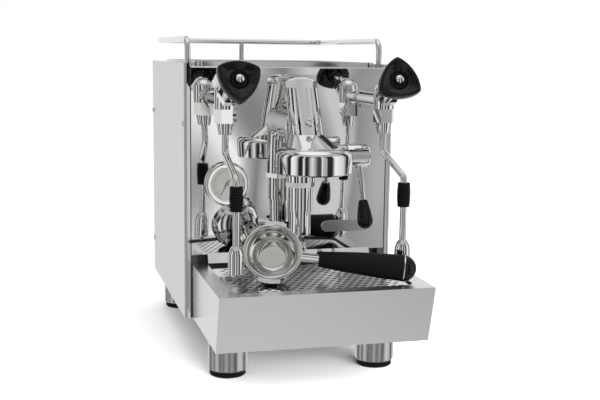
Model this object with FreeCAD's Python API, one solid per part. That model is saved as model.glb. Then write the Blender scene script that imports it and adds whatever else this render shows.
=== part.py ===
import FreeCAD, Part
import math
import os

# Espresso machine, millimetres, +Z up, front towards -Y.
# The origin is under the middle of the whole machine, on the surface that it stands on.

# Fits between pieces
RUNNING_FIT = 0.05        # radial play of a shaft in its bore
LOOSE_FIT = 0.4           # play between pieces of different bodies
PANEL_GAP = 1.3           # shadow gap between casing sheets

# Casing
BODY_WIDTH = 264.0
BODY_DEPTH = 310.0
BODY_HEIGHT = 312.5       # side panels, bottom edge to top edge
SHEET = 1.5
FLANGE_WIDTH = 7.0        # folded front edge of a side panel
BEND_RADIUS = 3.0         # outside radius of that fold
POST_SIZE = 14.0
COVER_DROP = 4.0          # top cover below the side panels' top edge
COVER_LIP = 9.0           # height of the cover's front lip
COVER_EDGE = 1.3          # rounding of its upper edge
COVER_OPENING_WIDTH = 200.0
COVER_OPENING_DEPTH = 84.0
COVER_OPENING_REAR = 24.0     # distance from the rear face to the opening
VENT_COUNT = 9
VENT_PITCH = 9.0
VENT_LENGTH = 120.0
VENT_WIDTH = 4.0
VENT_TOP_DROP = 40.0

# Feet
FOOT_FRONT_SPACING = 182.8
FOOT_REAR_SPACING = 196.0
FOOT_SPACING_Y = 338.0
FOOT_RADIUS = 23.5
FOOT_HEIGHT = 51.5
PAD_HEIGHT = 7.0
PAD_INSET = 2.0
FOOT_CHAMFER = 1.5
FRONT_FOOT_AHEAD = 66.0   # front feet ahead of the front panel

# Base plate
BASE_SHEET = 2.0
NOSE_AHEAD = 91.0         # base plate ahead of the front panel, under the drip tray
NOSE_WIDTH = 236.0

# Front panel
PANEL_BOTTOM_Z = 131.0
DRIP_LIP_WIDTH = 208.0
DRIP_LIP_HEIGHT = 10.0
DRIP_LIP_REACH = 6.0
BULKHEAD_HEIGHT = 96.0
NAME_PLATE_WIDTH = 62.5
NAME_PLATE_HEIGHT = 14.0
NAME_PLATE_THICK = 1.6
NAME_PLATE_X = 72.0
NAME_PLATE_Z = 161.5

# Cup tray and rail
CUP_TRAY_WIDTH = 230.0
CUP_TRAY_FRONT = 20.0     # behind the front panel
CUP_TRAY_REAR = 18.0      # ahead of the rear face
CUP_TRAY_RIM = 6.0
CUP_TRAY_CORNER = 10.0
RAIL_RADIUS = 2.8
RAIL_SPACING = 246.0
RAIL_HEIGHT = 33.0        # bar's middle above the cover
RAIL_FRONT = 30.0         # front posts behind the front panel
RAIL_REAR = 9.0           # rear run ahead of the rear face
RAIL_POST_BEND = 13.0
RAIL_CORNER_BEND = 18.0
RAIL_FOOT_RADIUS = 5.0
RAIL_FOOT_HEIGHT = 2.5

# Screws
SCREW_RADIUS = 2.0
SCREW_LENGTH = 9.0
SCREW_HEAD_RADIUS = 4.2
SCREW_HEAD_HEIGHT = 2.2
SCREW_INSET = 7.0         # from the edge of a panel
SIDE_SCREW_Z = 291.5
REAR_SCREW_LOW_Z = 100.0
REAR_SCREW_HIGH_Z = 330.0

# Drip tray and grate
TRAY_WIDTH = 246.0
TRAY_REACH = 180.0        # top front edge ahead of the front panel
TRAY_SLANT = 18.4         # bottom front edge set back
TRAY_BEHIND = 0.5         # rear wall behind the front panel's face
TRAY_TOP_Z = 119.8
TRAY_WALL = 1.5
TRAY_LEDGE = 18.0         # flat rim around the grate
TRAY_REAR_LEDGE = 4.0
TRAY_RIM_DEPTH = 6.8
GRATE_THICK = 1.5
GRATE_RECESS = 3.8        # grate's underside below the rim
GRATE_SHELF = 6.0         # shelf that carries the grate
GRATE_CORNER = 12.0
GRATE_REAR = 20.0         # grate's rear edge ahead of the front panel
GRATE_BORDER = 7.0
SLOT_LENGTH = 6.4
SLOT_WIDTH = 4.0
SLOT_PITCH_X = 9.2
SLOT_PITCH_Y = 8.2

# Brew group, distances ahead of the front panel
CHAMBER_AHEAD = 47.0
BELL_AHEAD = 105.0
SHOULDER_AHEAD = 72.0
GROUP_TOP_Z = 337.0
SHOULDER_Z = 284.0
BELL_TOP_Z = 271.0
BELL_BOTTOM_Z = 242.0
GROUP_TOP_RADIUS = 19.0
SHOULDER_RADIUS = 20.0
BELL_RADIUS = 44.0
BELL_CROWN_RADIUS = 34.0
SOCKET_RADIUS = 36.0
SOCKET_DEPTH = 12.0
BELL_EDGE = 1.5
NECK_RADIUS = 20.0
NECK_Z = 292.0
GROUP_FLANGE_RADIUS = 26.0
GROUP_FLANGE_THICK = 8.0
BOSS_RADIUS = 17.3
BOSS_BOTTOM_Z = 225.0
TOP_NUT_FLATS = 33.0
TOP_NUT_HEIGHT = 12.0
TOP_NUT_FLANK = 7.0       # height of its flats at a corner
JET_PLUG_RADIUS = 5.0
JET_PLUG_LENGTH = 3.0
JET_PLUG_SHANK = 6.0
JET_PLUG_EDGE = 1.0
JET_PLUG_RECESS = 2.0
JET_PLUG_Z = 298.0
CHAMBER_RADIUS = 14.7
CHAMBER_STEP_RADIUS = 13.2
CHAMBER_HEX_FLATS = 31.0
CHAMBER_HEX_HEIGHT = 6.0
CHAMBER_UPPER = 29.0
CHAMBER_LOWER = 28.0
SPOUT_RADIUS = 4.6
SPOUT_BORE = 3.2
SPOUT_REACH = 14.0
SPOUT_DROP = 19.0
GASKET_RADIUS = 34.0
GASKET_WIDTH = 6.0
GASKET_HEIGHT = 8.0
SCREEN_THICK = 2.0
SCREEN_HOLE_RADIUS = 1.2
SCREEN_RINGS = 3
SCREEN_RING_PITCH = 8.0

# Brew lever
LEVER_AHEAD = 60.0
LEVER_Z = 256.0
LEVER_BOSS_RADIUS = 14.0
LEVER_BOSS_END = 50.0
LEVER_SHAFT_RADIUS = 6.0
LEVER_SHAFT_DEPTH = 28.0  # length of the shaft inside the boss
LEVER_HUB_RADIUS = 15.0
LEVER_HUB_WIDTH = 29.0
LEVER_HUB_EDGE = 2.0
LEVER_ROD_RADIUS = 3.6
LEVER_ROD_LENGTH = 62.0
LEVER_REST_ANGLE = 22.0   # degrees forward of hanging straight down
LEVER_KNOB_LENGTH = 34.0
LEVER_KNOB_RADIUS = 9.4
LEVER_KNOB_TOP = 5.2
LEVER_KNOB_START = 55.0   # from the hub's axis
LEVER_ROD_X = 18.0        # rod's axis from the hub's inner end
GRIP_SWELL = 0.64         # share of its widening that a swelling grip has halfway along

# Taps
VALVE_X = 95.5
VALVE_AHEAD = 69.5
VALVE_Z = 323.0
VALVE_RADIUS = 12.5
VALVE_DOME = 8.0
INLET_RADIUS = 8.0
INLET_NUT_FLATS = 24.0
INLET_NUT_THICK = 7.0
KNOB_TILT = 22.7          # degrees that the knob's axis rises forwards
KNOB_SPLAY = 3.8          # degrees that it leans inwards
STEAM_KNOB_TURN = -90.0   # degrees, one lobe down at rest
WATER_KNOB_TURN = 90.0    # degrees, one lobe up at rest
BONNET_RADIUS = 9.5
BONNET_LENGTH = 52.0
BONNET_NUT_FLATS = 24.0
BONNET_NUT_START = 15.0
BONNET_NUT_LENGTH = 10.0
STEM_RADIUS = 4.5
STEM_DEPTH = 18.0         # stem inside the bonnet
KNOB_BACK = 57.0          # knob's back face from the valve's middle
KNOB_THICK = 13.5
KNOB_LOBE_REACH = 19.5
KNOB_LOBE_RADIUS = 8.5
KNOB_SIDE_RADIUS = 100.0
KNOB_EDGE = 3.0
KNOB_DISH_RADIUS = 10.0
KNOB_DISH_DEPTH = 2.0
KNOB_SOCKET_DEPTH = 8.0
KNOB_SCREW_RADIUS = 4.4
KNOB_SCREW_HEIGHT = 1.8

# Wand joints and wands
JOINT_NUT_TOP_Z = 313.0
JOINT_NUT_FLATS = 22.5
JOINT_NUT_HEIGHT = 16.0
COLLAR_HEIGHT = 13.0
COLLAR_TOP_RADIUS = 10.0
COLLAR_BOTTOM_RADIUS = 7.8
BALL_RADIUS = 7.0
BALL_RISE = 8.0           # ball's middle above the collar's lower end
COLLAR_MOUTH = 6.4
JOINT_BORE = 5.6
PIPE_RADIUS = 4.0
PIPE_ABOVE_BALL = 5.0
WAND_REACH = 50.0
WAND_UPPER_BEND_Z = 262.0
WAND_LOWER_BEND_Z = 237.0
WAND_BEND_RADIUS = 10.0
STEAM_WAND_TURN = -3.5    # degrees outwards at rest
WATER_WAND_TURN = 10.8
GRIP_TOP_Z = 230.5
GRIP_LENGTH = 28.0
GRIP_RIBS = 9
GRIP_RIB_RADIUS = 8.0
GRIP_GROOVE_RADIUS = 6.6
GRIP_BARREL = 0.1         # share that the end ribs are smaller
TIP_TOP_Z = 163.0
TIP_SHOULDER = 12.0
TIP_LENGTH = 32.0
TIP_RADIUS = 9.2
TIP_NECK_RADIUS = 5.0
TIP_SOCKET = 8.0
TIP_NOZZLE_RADIUS = 4.0
TIP_NOZZLE_LENGTH = 4.0
TIP_EDGE = 1.0
TIP_SHOULDER_BULGE = 1.5

# Pressure gauge
GAUGE_X = -80.4
GAUGE_Z = 218.2
GAUGE_RADIUS = 27.2
GAUGE_PROUD = 8.0
GAUGE_WINDOW_RADIUS = 20.5
GAUGE_BODY_RADIUS = 21.5
GAUGE_BODY_DEPTH = 26.0
GAUGE_BEZEL_EDGE = 3.0
GAUGE_POCKET = 6.5
DIAL_THICK = 1.0
GLASS_THICK = 1.5
GLASS_INSET = 1.0
NEEDLE_LENGTH = 15.0
NEEDLE_TAIL = 5.0
NEEDLE_WIDTH = 1.6
NEEDLE_THICK = 0.6
NEEDLE_HUB_RADIUS = 2.4
NEEDLE_PIN_RADIUS = 1.0
NEEDLE_REST_ANGLE = 240.0     # degrees, 0 to the right, counted anticlockwise

# Portafilter, in its own frame: rim in the plane z = 0, handle along +X
PORTAFILTER_X = -48.7
PORTAFILTER_AHEAD = 111.0
PORTAFILTER_Z = 153.9
PORTAFILTER_TURN = 13.5   # degrees that the opening faces left of straight ahead
PORTAFILTER_LEAN = 30.0   # degrees that the opening faces up
PORTAFILTER_ROLL = 6.0    # degrees that the handle drops in the rim's plane
BOWL_RIM_RADIUS = 33.5
BOWL_RIM_HEIGHT = 6.0
BOWL_RADIUS = 31.5
BOWL_STRAIGHT = 14.0
BOWL_BULGE = 1.5          # roundness of the bowl between its wall and its foot
BOWL_FOOT_RADIUS = 21.5
BOWL_DEPTH = 32.0
BOWL_WALL = 2.0
BOWL_FLOOR = 3.0
EAR_WIDTH = 25.0
EAR_REACH = 37.5
EAR_TOP = 1.0
EAR_THICK = 4.0
NECK_ARM_RADIUS = 5.5
NECK_ARM_DROP = 9.0       # arm's axis below the rim
HANDLE_START = 53.0
HANDLE_LENGTH = 112.0     # with its domed end
HANDLE_TANG = 10.0
HANDLE_START_RADIUS = 8.7
HANDLE_END_RADIUS = 15.2
BASKET_LIP_RADIUS = 32.6
BASKET_LIP_THICK = 0.8
BASKET_RADIUS = 29.0
BASKET_STEP_DEPTH = 9.0
BASKET_STEP_RADIUS = 22.0
BASKET_FLOOR_RADIUS = 15.6
BASKET_DEPTH = 20.0
BASKET_WALL = 0.8
POUR_RADIUS = 7.0
POUR_BORE = 3.5
POUR_LENGTH = 16.0
POUR_COLLAR = 2.0
POUR_COLLAR_HEIGHT = 4.0
POUR_EDGE = 1.0

# Inside
BOILER_RADIUS = 52.0
BOILER_LENGTH = 190.0
BOILER_Y = 92.0           # boiler's axis behind the front panel
BOILER_Z = 215.0
BOILER_DOME = 10.0
BOILER_SADDLE_WIDTH = 14.0
BOILER_SADDLE_DEPTH = 60.0
BOILER_SADDLE_X = 22.0
FEED_PIPE_RADIUS = 6.0
FEED_PIPE_BEND = 15.0
TANK_WIDTH = 190.0
TANK_DEPTH = 74.0
TANK_REAR = 28.0          # tank's rear wall ahead of the rear face
TANK_TOP_GAP = 12.0
TANK_BOTTOM_GAP = 60.0
TANK_WALL = 2.5
TANK_SHELF = 2.0
TANK_STAND_INSET = 20.0
PUMP_WIDTH = 56.0
PUMP_DEPTH = 110.0
PUMP_COIL_DEPTH = 66.0
PUMP_HEIGHT = 58.0
PUMP_X = -70.0
PUMP_Y = 40.0
PUMP_BARREL_RADIUS = 18.0
CONTROL_WIDTH = 70.0
CONTROL_DEPTH = 90.0
CONTROL_HEIGHT = 62.0
CONTROL_X = 68.0
CONTROL_Y = 40.0

# Switch and inlet
ROCKER_Y = 40.0           # behind the front panel
ROCKER_Z = 84.0
ROCKER_WIDTH = 20.0
ROCKER_HEIGHT = 26.0
ROCKER_BEZEL = 3.0
ROCKER_BEZEL_PROUD = 1.6
ROCKER_DEPTH = 9.0
ROCKER_KEY_PROUD = 0.8     # key's ends beyond the side panel
ROCKER_PIN_RADIUS = 1.5
ROCKER_PIN_DEPTH = 4.0
ROCKER_TILT = 7.0
ROCKER_WALL = 1.6
INLET_X = 80.0
INLET_Z = 90.0
INLET_FACE_WIDTH = 48.0
INLET_FACE_HEIGHT = 28.0
INLET_FACE_THICK = 3.0
INLET_BODY_WIDTH = 30.0
INLET_BODY_HEIGHT = 22.0
INLET_BODY_DEPTH = 26.0
INLET_WELL_WIDTH = 24.0
INLET_WELL_HEIGHT = 16.0
INLET_WELL_DEPTH = 17.0
INLET_PIN_WIDTH = 2.0
INLET_PIN_HEIGHT = 4.0
INLET_PIN_LENGTH = 13.0
INLET_PIN_PITCH = 7.0

# Places worked out from the sizes above
FRONT_Y = (TRAY_REACH - BODY_DEPTH - INLET_FACE_THICK) / 2
REAR_Y = FRONT_Y + BODY_DEPTH
HALF_WIDTH = BODY_WIDTH / 2
INNER_HALF = HALF_WIDTH - SHEET
BASE_TOP_Z = FOOT_HEIGHT + BASE_SHEET
BODY_TOP_Z = FOOT_HEIGHT + BODY_HEIGHT
COVER_TOP_Z = BODY_TOP_Z - COVER_DROP
COVER_UNDER_Z = COVER_TOP_Z - SHEET
PANEL_HALF = HALF_WIDTH - FLANGE_WIDTH - PANEL_GAP
TRAY_BOTTOM_Z = BASE_TOP_Z + LOOSE_FIT
GRATE_Z = TRAY_TOP_Z - GRATE_RECESS
CHAMBER_Y = FRONT_Y - CHAMBER_AHEAD
BELL_Y = FRONT_Y - BELL_AHEAD
SHOULDER_Y = FRONT_Y - SHOULDER_AHEAD
LEVER_Y = FRONT_Y - LEVER_AHEAD
VALVE_Y = FRONT_Y - VALVE_AHEAD
COLLAR_TOP_Z = JOINT_NUT_TOP_Z - JOINT_NUT_HEIGHT
COLLAR_BOTTOM_Z = COLLAR_TOP_Z - COLLAR_HEIGHT
BALL_Z = COLLAR_BOTTOM_Z + BALL_RISE
GAUGE_FACE_Y = FRONT_Y - GAUGE_PROUD
DIAL_Y = GAUGE_FACE_Y + GAUGE_POCKET
GASKET_LOW_Z = BELL_BOTTOM_Z + SOCKET_DEPTH
SOCKET_ROOF_Z = GASKET_LOW_Z + GASKET_HEIGHT
CHAMBER_STEP_Z = BOSS_BOTTOM_Z - CHAMBER_HEX_HEIGHT - CHAMBER_UPPER
CHAMBER_BOTTOM_Z = CHAMBER_STEP_Z - CHAMBER_LOWER
ROUND_CORNER = 1 - math.sqrt(0.5)    # share of a quarter round's radius that its middle stays off the corner

X = FreeCAD.Vector(1, 0, 0)
Y = FreeCAD.Vector(0, 1, 0)
Z = FreeCAD.Vector(0, 0, 1)
ORIGIN = FreeCAD.Vector(0, 0, 0)


# Helpers

def vec(x, y, z):
    return FreeCAD.Vector(x, y, z)


def box(x_range, y_range, z_range):
    """A box between pairs of limits."""
    size = [high - low for low, high in (x_range, y_range, z_range)]
    return Part.makeBox(*size, vec(x_range[0], y_range[0], z_range[0]))


def span(middle, width):
    return (middle - width / 2, middle + width / 2)


def rod(start, end, radius):
    """A round bar between two points."""
    return Part.makeCylinder(radius, (end - start).Length, start, end - start)


def placed(shape, origin, z_axis=Z, x_axis=X):
    """Move a shape made about +Z at the origin so that its Z runs along z_axis."""
    turn = FreeCAD.Rotation(x_axis, ORIGIN, z_axis, "ZXY")
    moved = shape.copy()
    moved.Placement = FreeCAD.Placement(origin, turn).multiply(shape.Placement)
    return moved


def wire(start, *steps):
    """A closed wire. A step is a point, or a pair of points for an arc: its middle and its end."""
    edges = []
    here = start
    for step in steps:
        if isinstance(step, tuple):
            middle, end = step
            edges.append(Part.Arc(here, middle, end).toShape())
        else:
            end = step
            edges.append(Part.LineSegment(here, end).toShape())
        here = end
    if (here - start).Length > 1e-6:
        edges.append(Part.LineSegment(here, start).toShape())
    return Part.Wire(edges)


def turned(start, *steps):
    """A solid of revolution about Z from (radius, height) points, arcs as in wire()."""
    def point(pair):
        return vec(pair[0], 0, pair[1])

    path = [tuple(point(p) for p in step) if isinstance(step[0], tuple) else point(step)
            for step in steps]
    return Part.Face(wire(point(start), *path)).revolve(ORIGIN, Z, 360)


def cap(radius, base, top):
    """The arc of a ball-shaped cap, from its rim up to the axis, as a step for turned()."""
    rise = top - base
    ball = (radius ** 2 + rise ** 2) / (2 * rise)
    half = math.asin(radius / ball) / 2
    return (ball * math.sin(half), top - ball + ball * math.cos(half)), (0, top)


def hexagon(flats, height):
    """A hexagonal prism on the origin along Z."""
    corner = flats / math.sqrt(3)
    points = [vec(corner * math.cos(math.radians(60 * k)), corner * math.sin(math.radians(60 * k)), 0)
              for k in range(6)]
    return Part.Face(wire(*points)).extrude(Z * height)


def rounded_outline(x_range, y_range, z, radius):
    """A rectangle with four round corners, lying flat at height z."""
    corner = radius * ROUND_CORNER
    (x0, x1), (y0, y1) = x_range, y_range
    return wire(
        vec(x0 + radius, y0, z), vec(x1 - radius, y0, z),
        (vec(x1 - corner, y0 + corner, z), vec(x1, y0 + radius, z)), vec(x1, y1 - radius, z),
        (vec(x1 - corner, y1 - corner, z), vec(x1 - radius, y1, z)), vec(x0 + radius, y1, z),
        (vec(x0 + corner, y1 - corner, z), vec(x0, y1 - radius, z)), vec(x0, y0 + radius, z),
        (vec(x0 + corner, y0 + corner, z), vec(x0 + radius, y0, z)))


def rounded_block(x_range, y_range, z_range, radius):
    low, high = z_range
    return Part.Face(rounded_outline(x_range, y_range, low, radius)).extrude(Z * (high - low))


def slot_outline(length, width):
    """A slot with round ends along X about the origin, lying flat."""
    half = (length - width) / 2
    radius = width / 2
    return wire(vec(-half, -radius, 0), vec(half, -radius, 0),
                (vec(half + radius, 0, 0), vec(half, radius, 0)), vec(-half, radius, 0),
                (vec(-half - radius, 0, 0), vec(-half, -radius, 0)))


def bent_bar(points, bends, radius):
    """A round bar along straight runs joined by tangent arcs, one bend radius for each inner point."""
    edges = []
    here = points[0]
    for before, corner, after, bend in zip(points, points[1:], points[2:], bends):
        inward = (before - corner).normalize()
        outward = (after - corner).normalize()
        half = inward.getAngle(outward) / 2
        reach = bend / math.tan(half)
        middle_way = (inward + outward).normalize()
        middle = corner + middle_way * (bend / math.sin(half) - bend)
        edges.append(Part.LineSegment(here, corner + inward * reach).toShape())
        edges.append(Part.Arc(corner + inward * reach, middle, corner + outward * reach).toShape())
        here = corner + outward * reach
    edges.append(Part.LineSegment(here, points[-1]).toShape())
    start_way = points[1] - points[0]
    section = Part.Wire(Part.makeCircle(radius, points[0], start_way))
    return Part.Wire(edges).makePipeShell([section], True, False)


def mirrored(shape):
    return shape.mirror(ORIGIN, X)


def screw(seat, direction):
    """A round-headed screw whose head sits on the seat and whose shank goes in."""
    shank = Part.makeCylinder(SCREW_RADIUS, SCREW_LENGTH, vec(0, 0, -SCREW_LENGTH), Z)
    shoulder = SCREW_HEAD_HEIGHT / 3
    head = turned((0, 0), (SCREW_HEAD_RADIUS, 0), (SCREW_HEAD_RADIUS, shoulder),
                  cap(SCREW_HEAD_RADIUS, shoulder, SCREW_HEAD_HEIGHT))
    side = X if abs(direction.x) < 0.5 else Y
    return placed(head.fuse(shank), seat, direction, side)


def screw_hole(seat, direction):
    hole_radius = SCREW_RADIUS + RUNNING_FIT
    return Part.makeCylinder(hole_radius, SCREW_LENGTH + SHEET, seat + direction * SHEET, direction * -1)


def side_screw_seats():
    """Screw seats on the right side panel."""
    places = [(FRONT_Y + SCREW_INSET + SHEET, SIDE_SCREW_Z),
              (REAR_Y - SCREW_INSET - SHEET, SIDE_SCREW_Z),
              (REAR_Y - SCREW_INSET - SHEET, REAR_SCREW_LOW_Z)]
    return [vec(HALF_WIDTH, y, z) for y, z in places]


def rear_screw_seats():
    """Screw seats on the right half of the rear panel."""
    heights = (REAR_SCREW_LOW_Z + POST_SIZE, REAR_SCREW_HIGH_Z)
    return [vec(INNER_HALF - SCREW_INSET, REAR_Y, z) for z in heights]


# Casing

def base_plate():
    nose_y = FRONT_Y - NOSE_AHEAD
    shoulder_y = FRONT_Y + BEND_RADIUS
    half_nose = NOSE_WIDTH / 2
    outline = wire(
        vec(-half_nose, nose_y, FOOT_HEIGHT), vec(half_nose, nose_y, FOOT_HEIGHT),
        vec(half_nose, shoulder_y, FOOT_HEIGHT), vec(INNER_HALF, shoulder_y, FOOT_HEIGHT),
        vec(INNER_HALF, REAR_Y, FOOT_HEIGHT), vec(-INNER_HALF, REAR_Y, FOOT_HEIGHT),
        vec(-INNER_HALF, shoulder_y, FOOT_HEIGHT), vec(-half_nose, shoulder_y, FOOT_HEIGHT))
    return Part.Face(outline).extrude(Z * BASE_SHEET).fuse(tank_stand())


def frame_posts():
    """Four square posts, one edge of each taken off to clear the fold of a side panel."""
    inner = INNER_HALF - POST_SIZE
    posts = []
    for front in (FRONT_Y + SHEET, REAR_Y - SHEET - POST_SIZE):
        rear = front + POST_SIZE
        outline = wire(vec(inner, front, BASE_TOP_Z), vec(INNER_HALF - SHEET, front, BASE_TOP_Z),
                       vec(INNER_HALF, front + SHEET, BASE_TOP_Z), vec(INNER_HALF, rear, BASE_TOP_Z),
                       vec(inner, rear, BASE_TOP_Z))
        post = Part.Face(outline).extrude(Z * (COVER_UNDER_Z - BASE_TOP_Z))
        for seat in side_screw_seats():
            post = post.cut(screw_hole(seat, X))
        for seat in rear_screw_seats():
            post = post.cut(screw_hole(seat, Y))
        posts += [post, mirrored(post)]
    return Part.Compound(posts)


def side_panel():
    """The right side panel: one sheet with its front edge folded inwards."""
    inside_bend = BEND_RADIUS - SHEET
    centre = vec(HALF_WIDTH - BEND_RADIUS, FRONT_Y + BEND_RADIUS, FOOT_HEIGHT)
    outwards = vec(math.sqrt(0.5), -math.sqrt(0.5), 0)
    flange_x = HALF_WIDTH - FLANGE_WIDTH
    outline = wire(
        vec(HALF_WIDTH, REAR_Y, FOOT_HEIGHT), centre + X * BEND_RADIUS,
        (centre + outwards * BEND_RADIUS, centre - Y * BEND_RADIUS),
        vec(flange_x, FRONT_Y, FOOT_HEIGHT), vec(flange_x, FRONT_Y + SHEET, FOOT_HEIGHT),
        centre - Y * inside_bend, (centre + outwards * inside_bend, centre + X * inside_bend),
        vec(INNER_HALF, REAR_Y, FOOT_HEIGHT))
    panel = Part.Face(outline).extrude(Z * BODY_HEIGHT)
    for seat in side_screw_seats():
        panel = panel.cut(screw_hole(seat, X))
    return panel


def right_panel_with_switch_hole():
    hole_width = ROCKER_WIDTH + 2 * ROCKER_WALL
    hole_height = ROCKER_HEIGHT + 2 * ROCKER_WALL
    hole = box((INNER_HALF - SHEET, HALF_WIDTH + SHEET), span(FRONT_Y + ROCKER_Y, hole_width),
               span(ROCKER_Z, hole_height))
    return side_panel().cut(hole)


def front_panel():
    """The polished panel, with a short drip lip that leans out at its lower edge."""
    panel = box(span(0, 2 * PANEL_HALF), (FRONT_Y, FRONT_Y + SHEET), (PANEL_BOTTOM_Z, COVER_UNDER_Z))
    lip = Part.Face(wire(
        vec(0, FRONT_Y, PANEL_BOTTOM_Z + SHEET), vec(0, FRONT_Y + SHEET, PANEL_BOTTOM_Z),
        vec(0, FRONT_Y + SHEET - DRIP_LIP_REACH, PANEL_BOTTOM_Z - DRIP_LIP_HEIGHT),
        vec(0, FRONT_Y - DRIP_LIP_REACH, PANEL_BOTTOM_Z - DRIP_LIP_HEIGHT))).extrude(X * DRIP_LIP_WIDTH)
    lip.translate(vec(-DRIP_LIP_WIDTH / 2, 0, 0))
    panel = panel.fuse(lip)
    holes = [(0, NECK_Z, FEED_PIPE_RADIUS + LOOSE_FIT),
             (VALVE_X, VALVE_Z, INLET_RADIUS + LOOSE_FIT),
             (-VALVE_X, VALVE_Z, INLET_RADIUS + LOOSE_FIT),
             (GAUGE_X, GAUGE_Z, GAUGE_BODY_RADIUS + LOOSE_FIT)]
    for x, z, radius in holes:
        panel = panel.cut(Part.makeCylinder(radius, 3 * SHEET, vec(x, FRONT_Y - SHEET, z), Y))
    return panel


def lower_bulkhead():
    """The dark sheet behind the drip tray, between the front posts' rear faces."""
    y = FRONT_Y + SHEET + POST_SIZE
    return box(span(0, 2 * INNER_HALF), (y, y + SHEET), (BASE_TOP_Z, BASE_TOP_Z + BULKHEAD_HEIGHT))


def rear_panel():
    panel = box(span(0, 2 * INNER_HALF), (REAR_Y - SHEET, REAR_Y), (BASE_TOP_Z, COVER_UNDER_Z))
    for row in range(VENT_COUNT):
        z = COVER_UNDER_Z - VENT_TOP_DROP - row * VENT_PITCH
        panel = panel.cut(box(span(0, VENT_LENGTH), (REAR_Y - 2 * SHEET, REAR_Y + SHEET),
                              span(z, VENT_WIDTH)))
    for seat in rear_screw_seats():
        hole = screw_hole(seat, Y)
        panel = panel.cut(hole).cut(mirrored(hole))
    inlet = box(span(INLET_X, INLET_BODY_WIDTH + LOOSE_FIT), (REAR_Y - 2 * SHEET, REAR_Y + SHEET),
                span(INLET_Z, INLET_BODY_HEIGHT + LOOSE_FIT))
    return panel.cut(inlet)


def top_cover():
    z_range = (COVER_UNDER_Z, COVER_TOP_Z)
    plate = box(span(0, 2 * INNER_HALF), (FRONT_Y + BEND_RADIUS, REAR_Y), z_range)
    front_width = span(0, 2 * PANEL_HALF)
    tongue = box(front_width, (FRONT_Y - SHEET, FRONT_Y + BEND_RADIUS), z_range)
    lip = box(front_width, (FRONT_Y - SHEET, FRONT_Y), (COVER_TOP_Z - COVER_LIP, COVER_TOP_Z))
    rear = REAR_Y - COVER_OPENING_REAR
    opening = rounded_block(span(0, COVER_OPENING_WIDTH), (rear - COVER_OPENING_DEPTH, rear),
                            (COVER_UNDER_Z - SHEET, COVER_TOP_Z + SHEET), CUP_TRAY_CORNER)
    cover = plate.fuse([tongue, lip]).removeSplitter().cut(opening)
    front_edges = [edge for edge in cover.Edges
                   if abs(edge.CenterOfMass.y - (FRONT_Y - SHEET)) < 1e-6
                   and abs(edge.CenterOfMass.z - COVER_TOP_Z) < 1e-6]
    return cover.makeFillet(COVER_EDGE, front_edges)


def cup_tray():
    x_range = span(0, CUP_TRAY_WIDTH)
    y_range = (FRONT_Y + CUP_TRAY_FRONT, REAR_Y - CUP_TRAY_REAR)
    block = rounded_block(x_range, y_range, (COVER_TOP_Z, COVER_TOP_Z + CUP_TRAY_RIM), CUP_TRAY_CORNER)
    hollow = rounded_block((x_range[0] + SHEET, x_range[1] - SHEET), (y_range[0] + SHEET, y_range[1] - SHEET),
                           (COVER_TOP_Z + SHEET, COVER_TOP_Z + 2 * CUP_TRAY_RIM), CUP_TRAY_CORNER - SHEET)
    return block.cut(hollow)


def cup_rail():
    half = RAIL_SPACING / 2
    front = FRONT_Y + RAIL_FRONT
    rear = REAR_Y - RAIL_REAR
    top = COVER_TOP_Z + RAIL_HEIGHT
    points = [vec(-half, front, COVER_TOP_Z), vec(-half, front, top), vec(-half, rear, top),
              vec(half, rear, top), vec(half, front, top), vec(half, front, COVER_TOP_Z)]
    bends = [RAIL_POST_BEND, RAIL_CORNER_BEND, RAIL_CORNER_BEND, RAIL_POST_BEND]
    bar = bent_bar(points, bends, RAIL_RADIUS)
    extras = [rod(vec(0, rear, COVER_TOP_Z), vec(0, rear, top), RAIL_RADIUS)]
    for x, y in ((-half, front), (half, front), (0, rear)):
        extras.append(Part.makeCylinder(RAIL_FOOT_RADIUS, RAIL_FOOT_HEIGHT, vec(x, y, COVER_TOP_Z), Z))
    return bar.fuse(extras)


def casing_screws():
    right = [screw(seat, X) for seat in side_screw_seats()]
    right += [screw(seat, Y) for seat in rear_screw_seats()]
    return Part.Compound(right + [mirrored(one) for one in right])


def foot_places():
    front = FRONT_Y - FRONT_FOOT_AHEAD
    rows = ((front, FOOT_FRONT_SPACING), (front + FOOT_SPACING_Y, FOOT_REAR_SPACING))
    return [vec(x, y, 0) for y, spacing in rows for x in span(0, spacing)]


def foot_sleeves():
    sleeve = turned((0, PAD_HEIGHT), (FOOT_RADIUS - FOOT_CHAMFER, PAD_HEIGHT),
                    (FOOT_RADIUS, PAD_HEIGHT + FOOT_CHAMFER), (FOOT_RADIUS, FOOT_HEIGHT), (0, FOOT_HEIGHT))
    return Part.Compound([placed(sleeve, place) for place in foot_places()])


def foot_pads():
    radius = FOOT_RADIUS - PAD_INSET
    pad = turned((0, 0), (radius - FOOT_CHAMFER, 0), (radius, FOOT_CHAMFER), (radius, PAD_HEIGHT),
                 (0, PAD_HEIGHT))
    return Part.Compound([placed(pad, place) for place in foot_places()])


def name_plate():
    """A bare plate with round ends on the front panel."""
    plate = Part.Face(slot_outline(NAME_PLATE_WIDTH, NAME_PLATE_HEIGHT)).extrude(Z * NAME_PLATE_THICK)
    return placed(plate, vec(NAME_PLATE_X, FRONT_Y, NAME_PLATE_Z), Y * -1)


# Drip tray

def tray_prism(inset, low, high):
    """The tray's slanted block, drawn in on all sides by inset, between two heights."""
    height = TRAY_TOP_Z - TRAY_BOTTOM_Z
    rear = FRONT_Y + TRAY_BEHIND - inset

    def front(z):
        return FRONT_Y - TRAY_REACH + inset + TRAY_SLANT * (TRAY_TOP_Z - z) / height

    half = TRAY_WIDTH / 2 - inset
    side = wire(vec(-half, front(low), low), vec(-half, rear, low), vec(-half, rear, high),
                vec(-half, front(high), high))
    return Part.Face(side).extrude(X * 2 * half)


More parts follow.
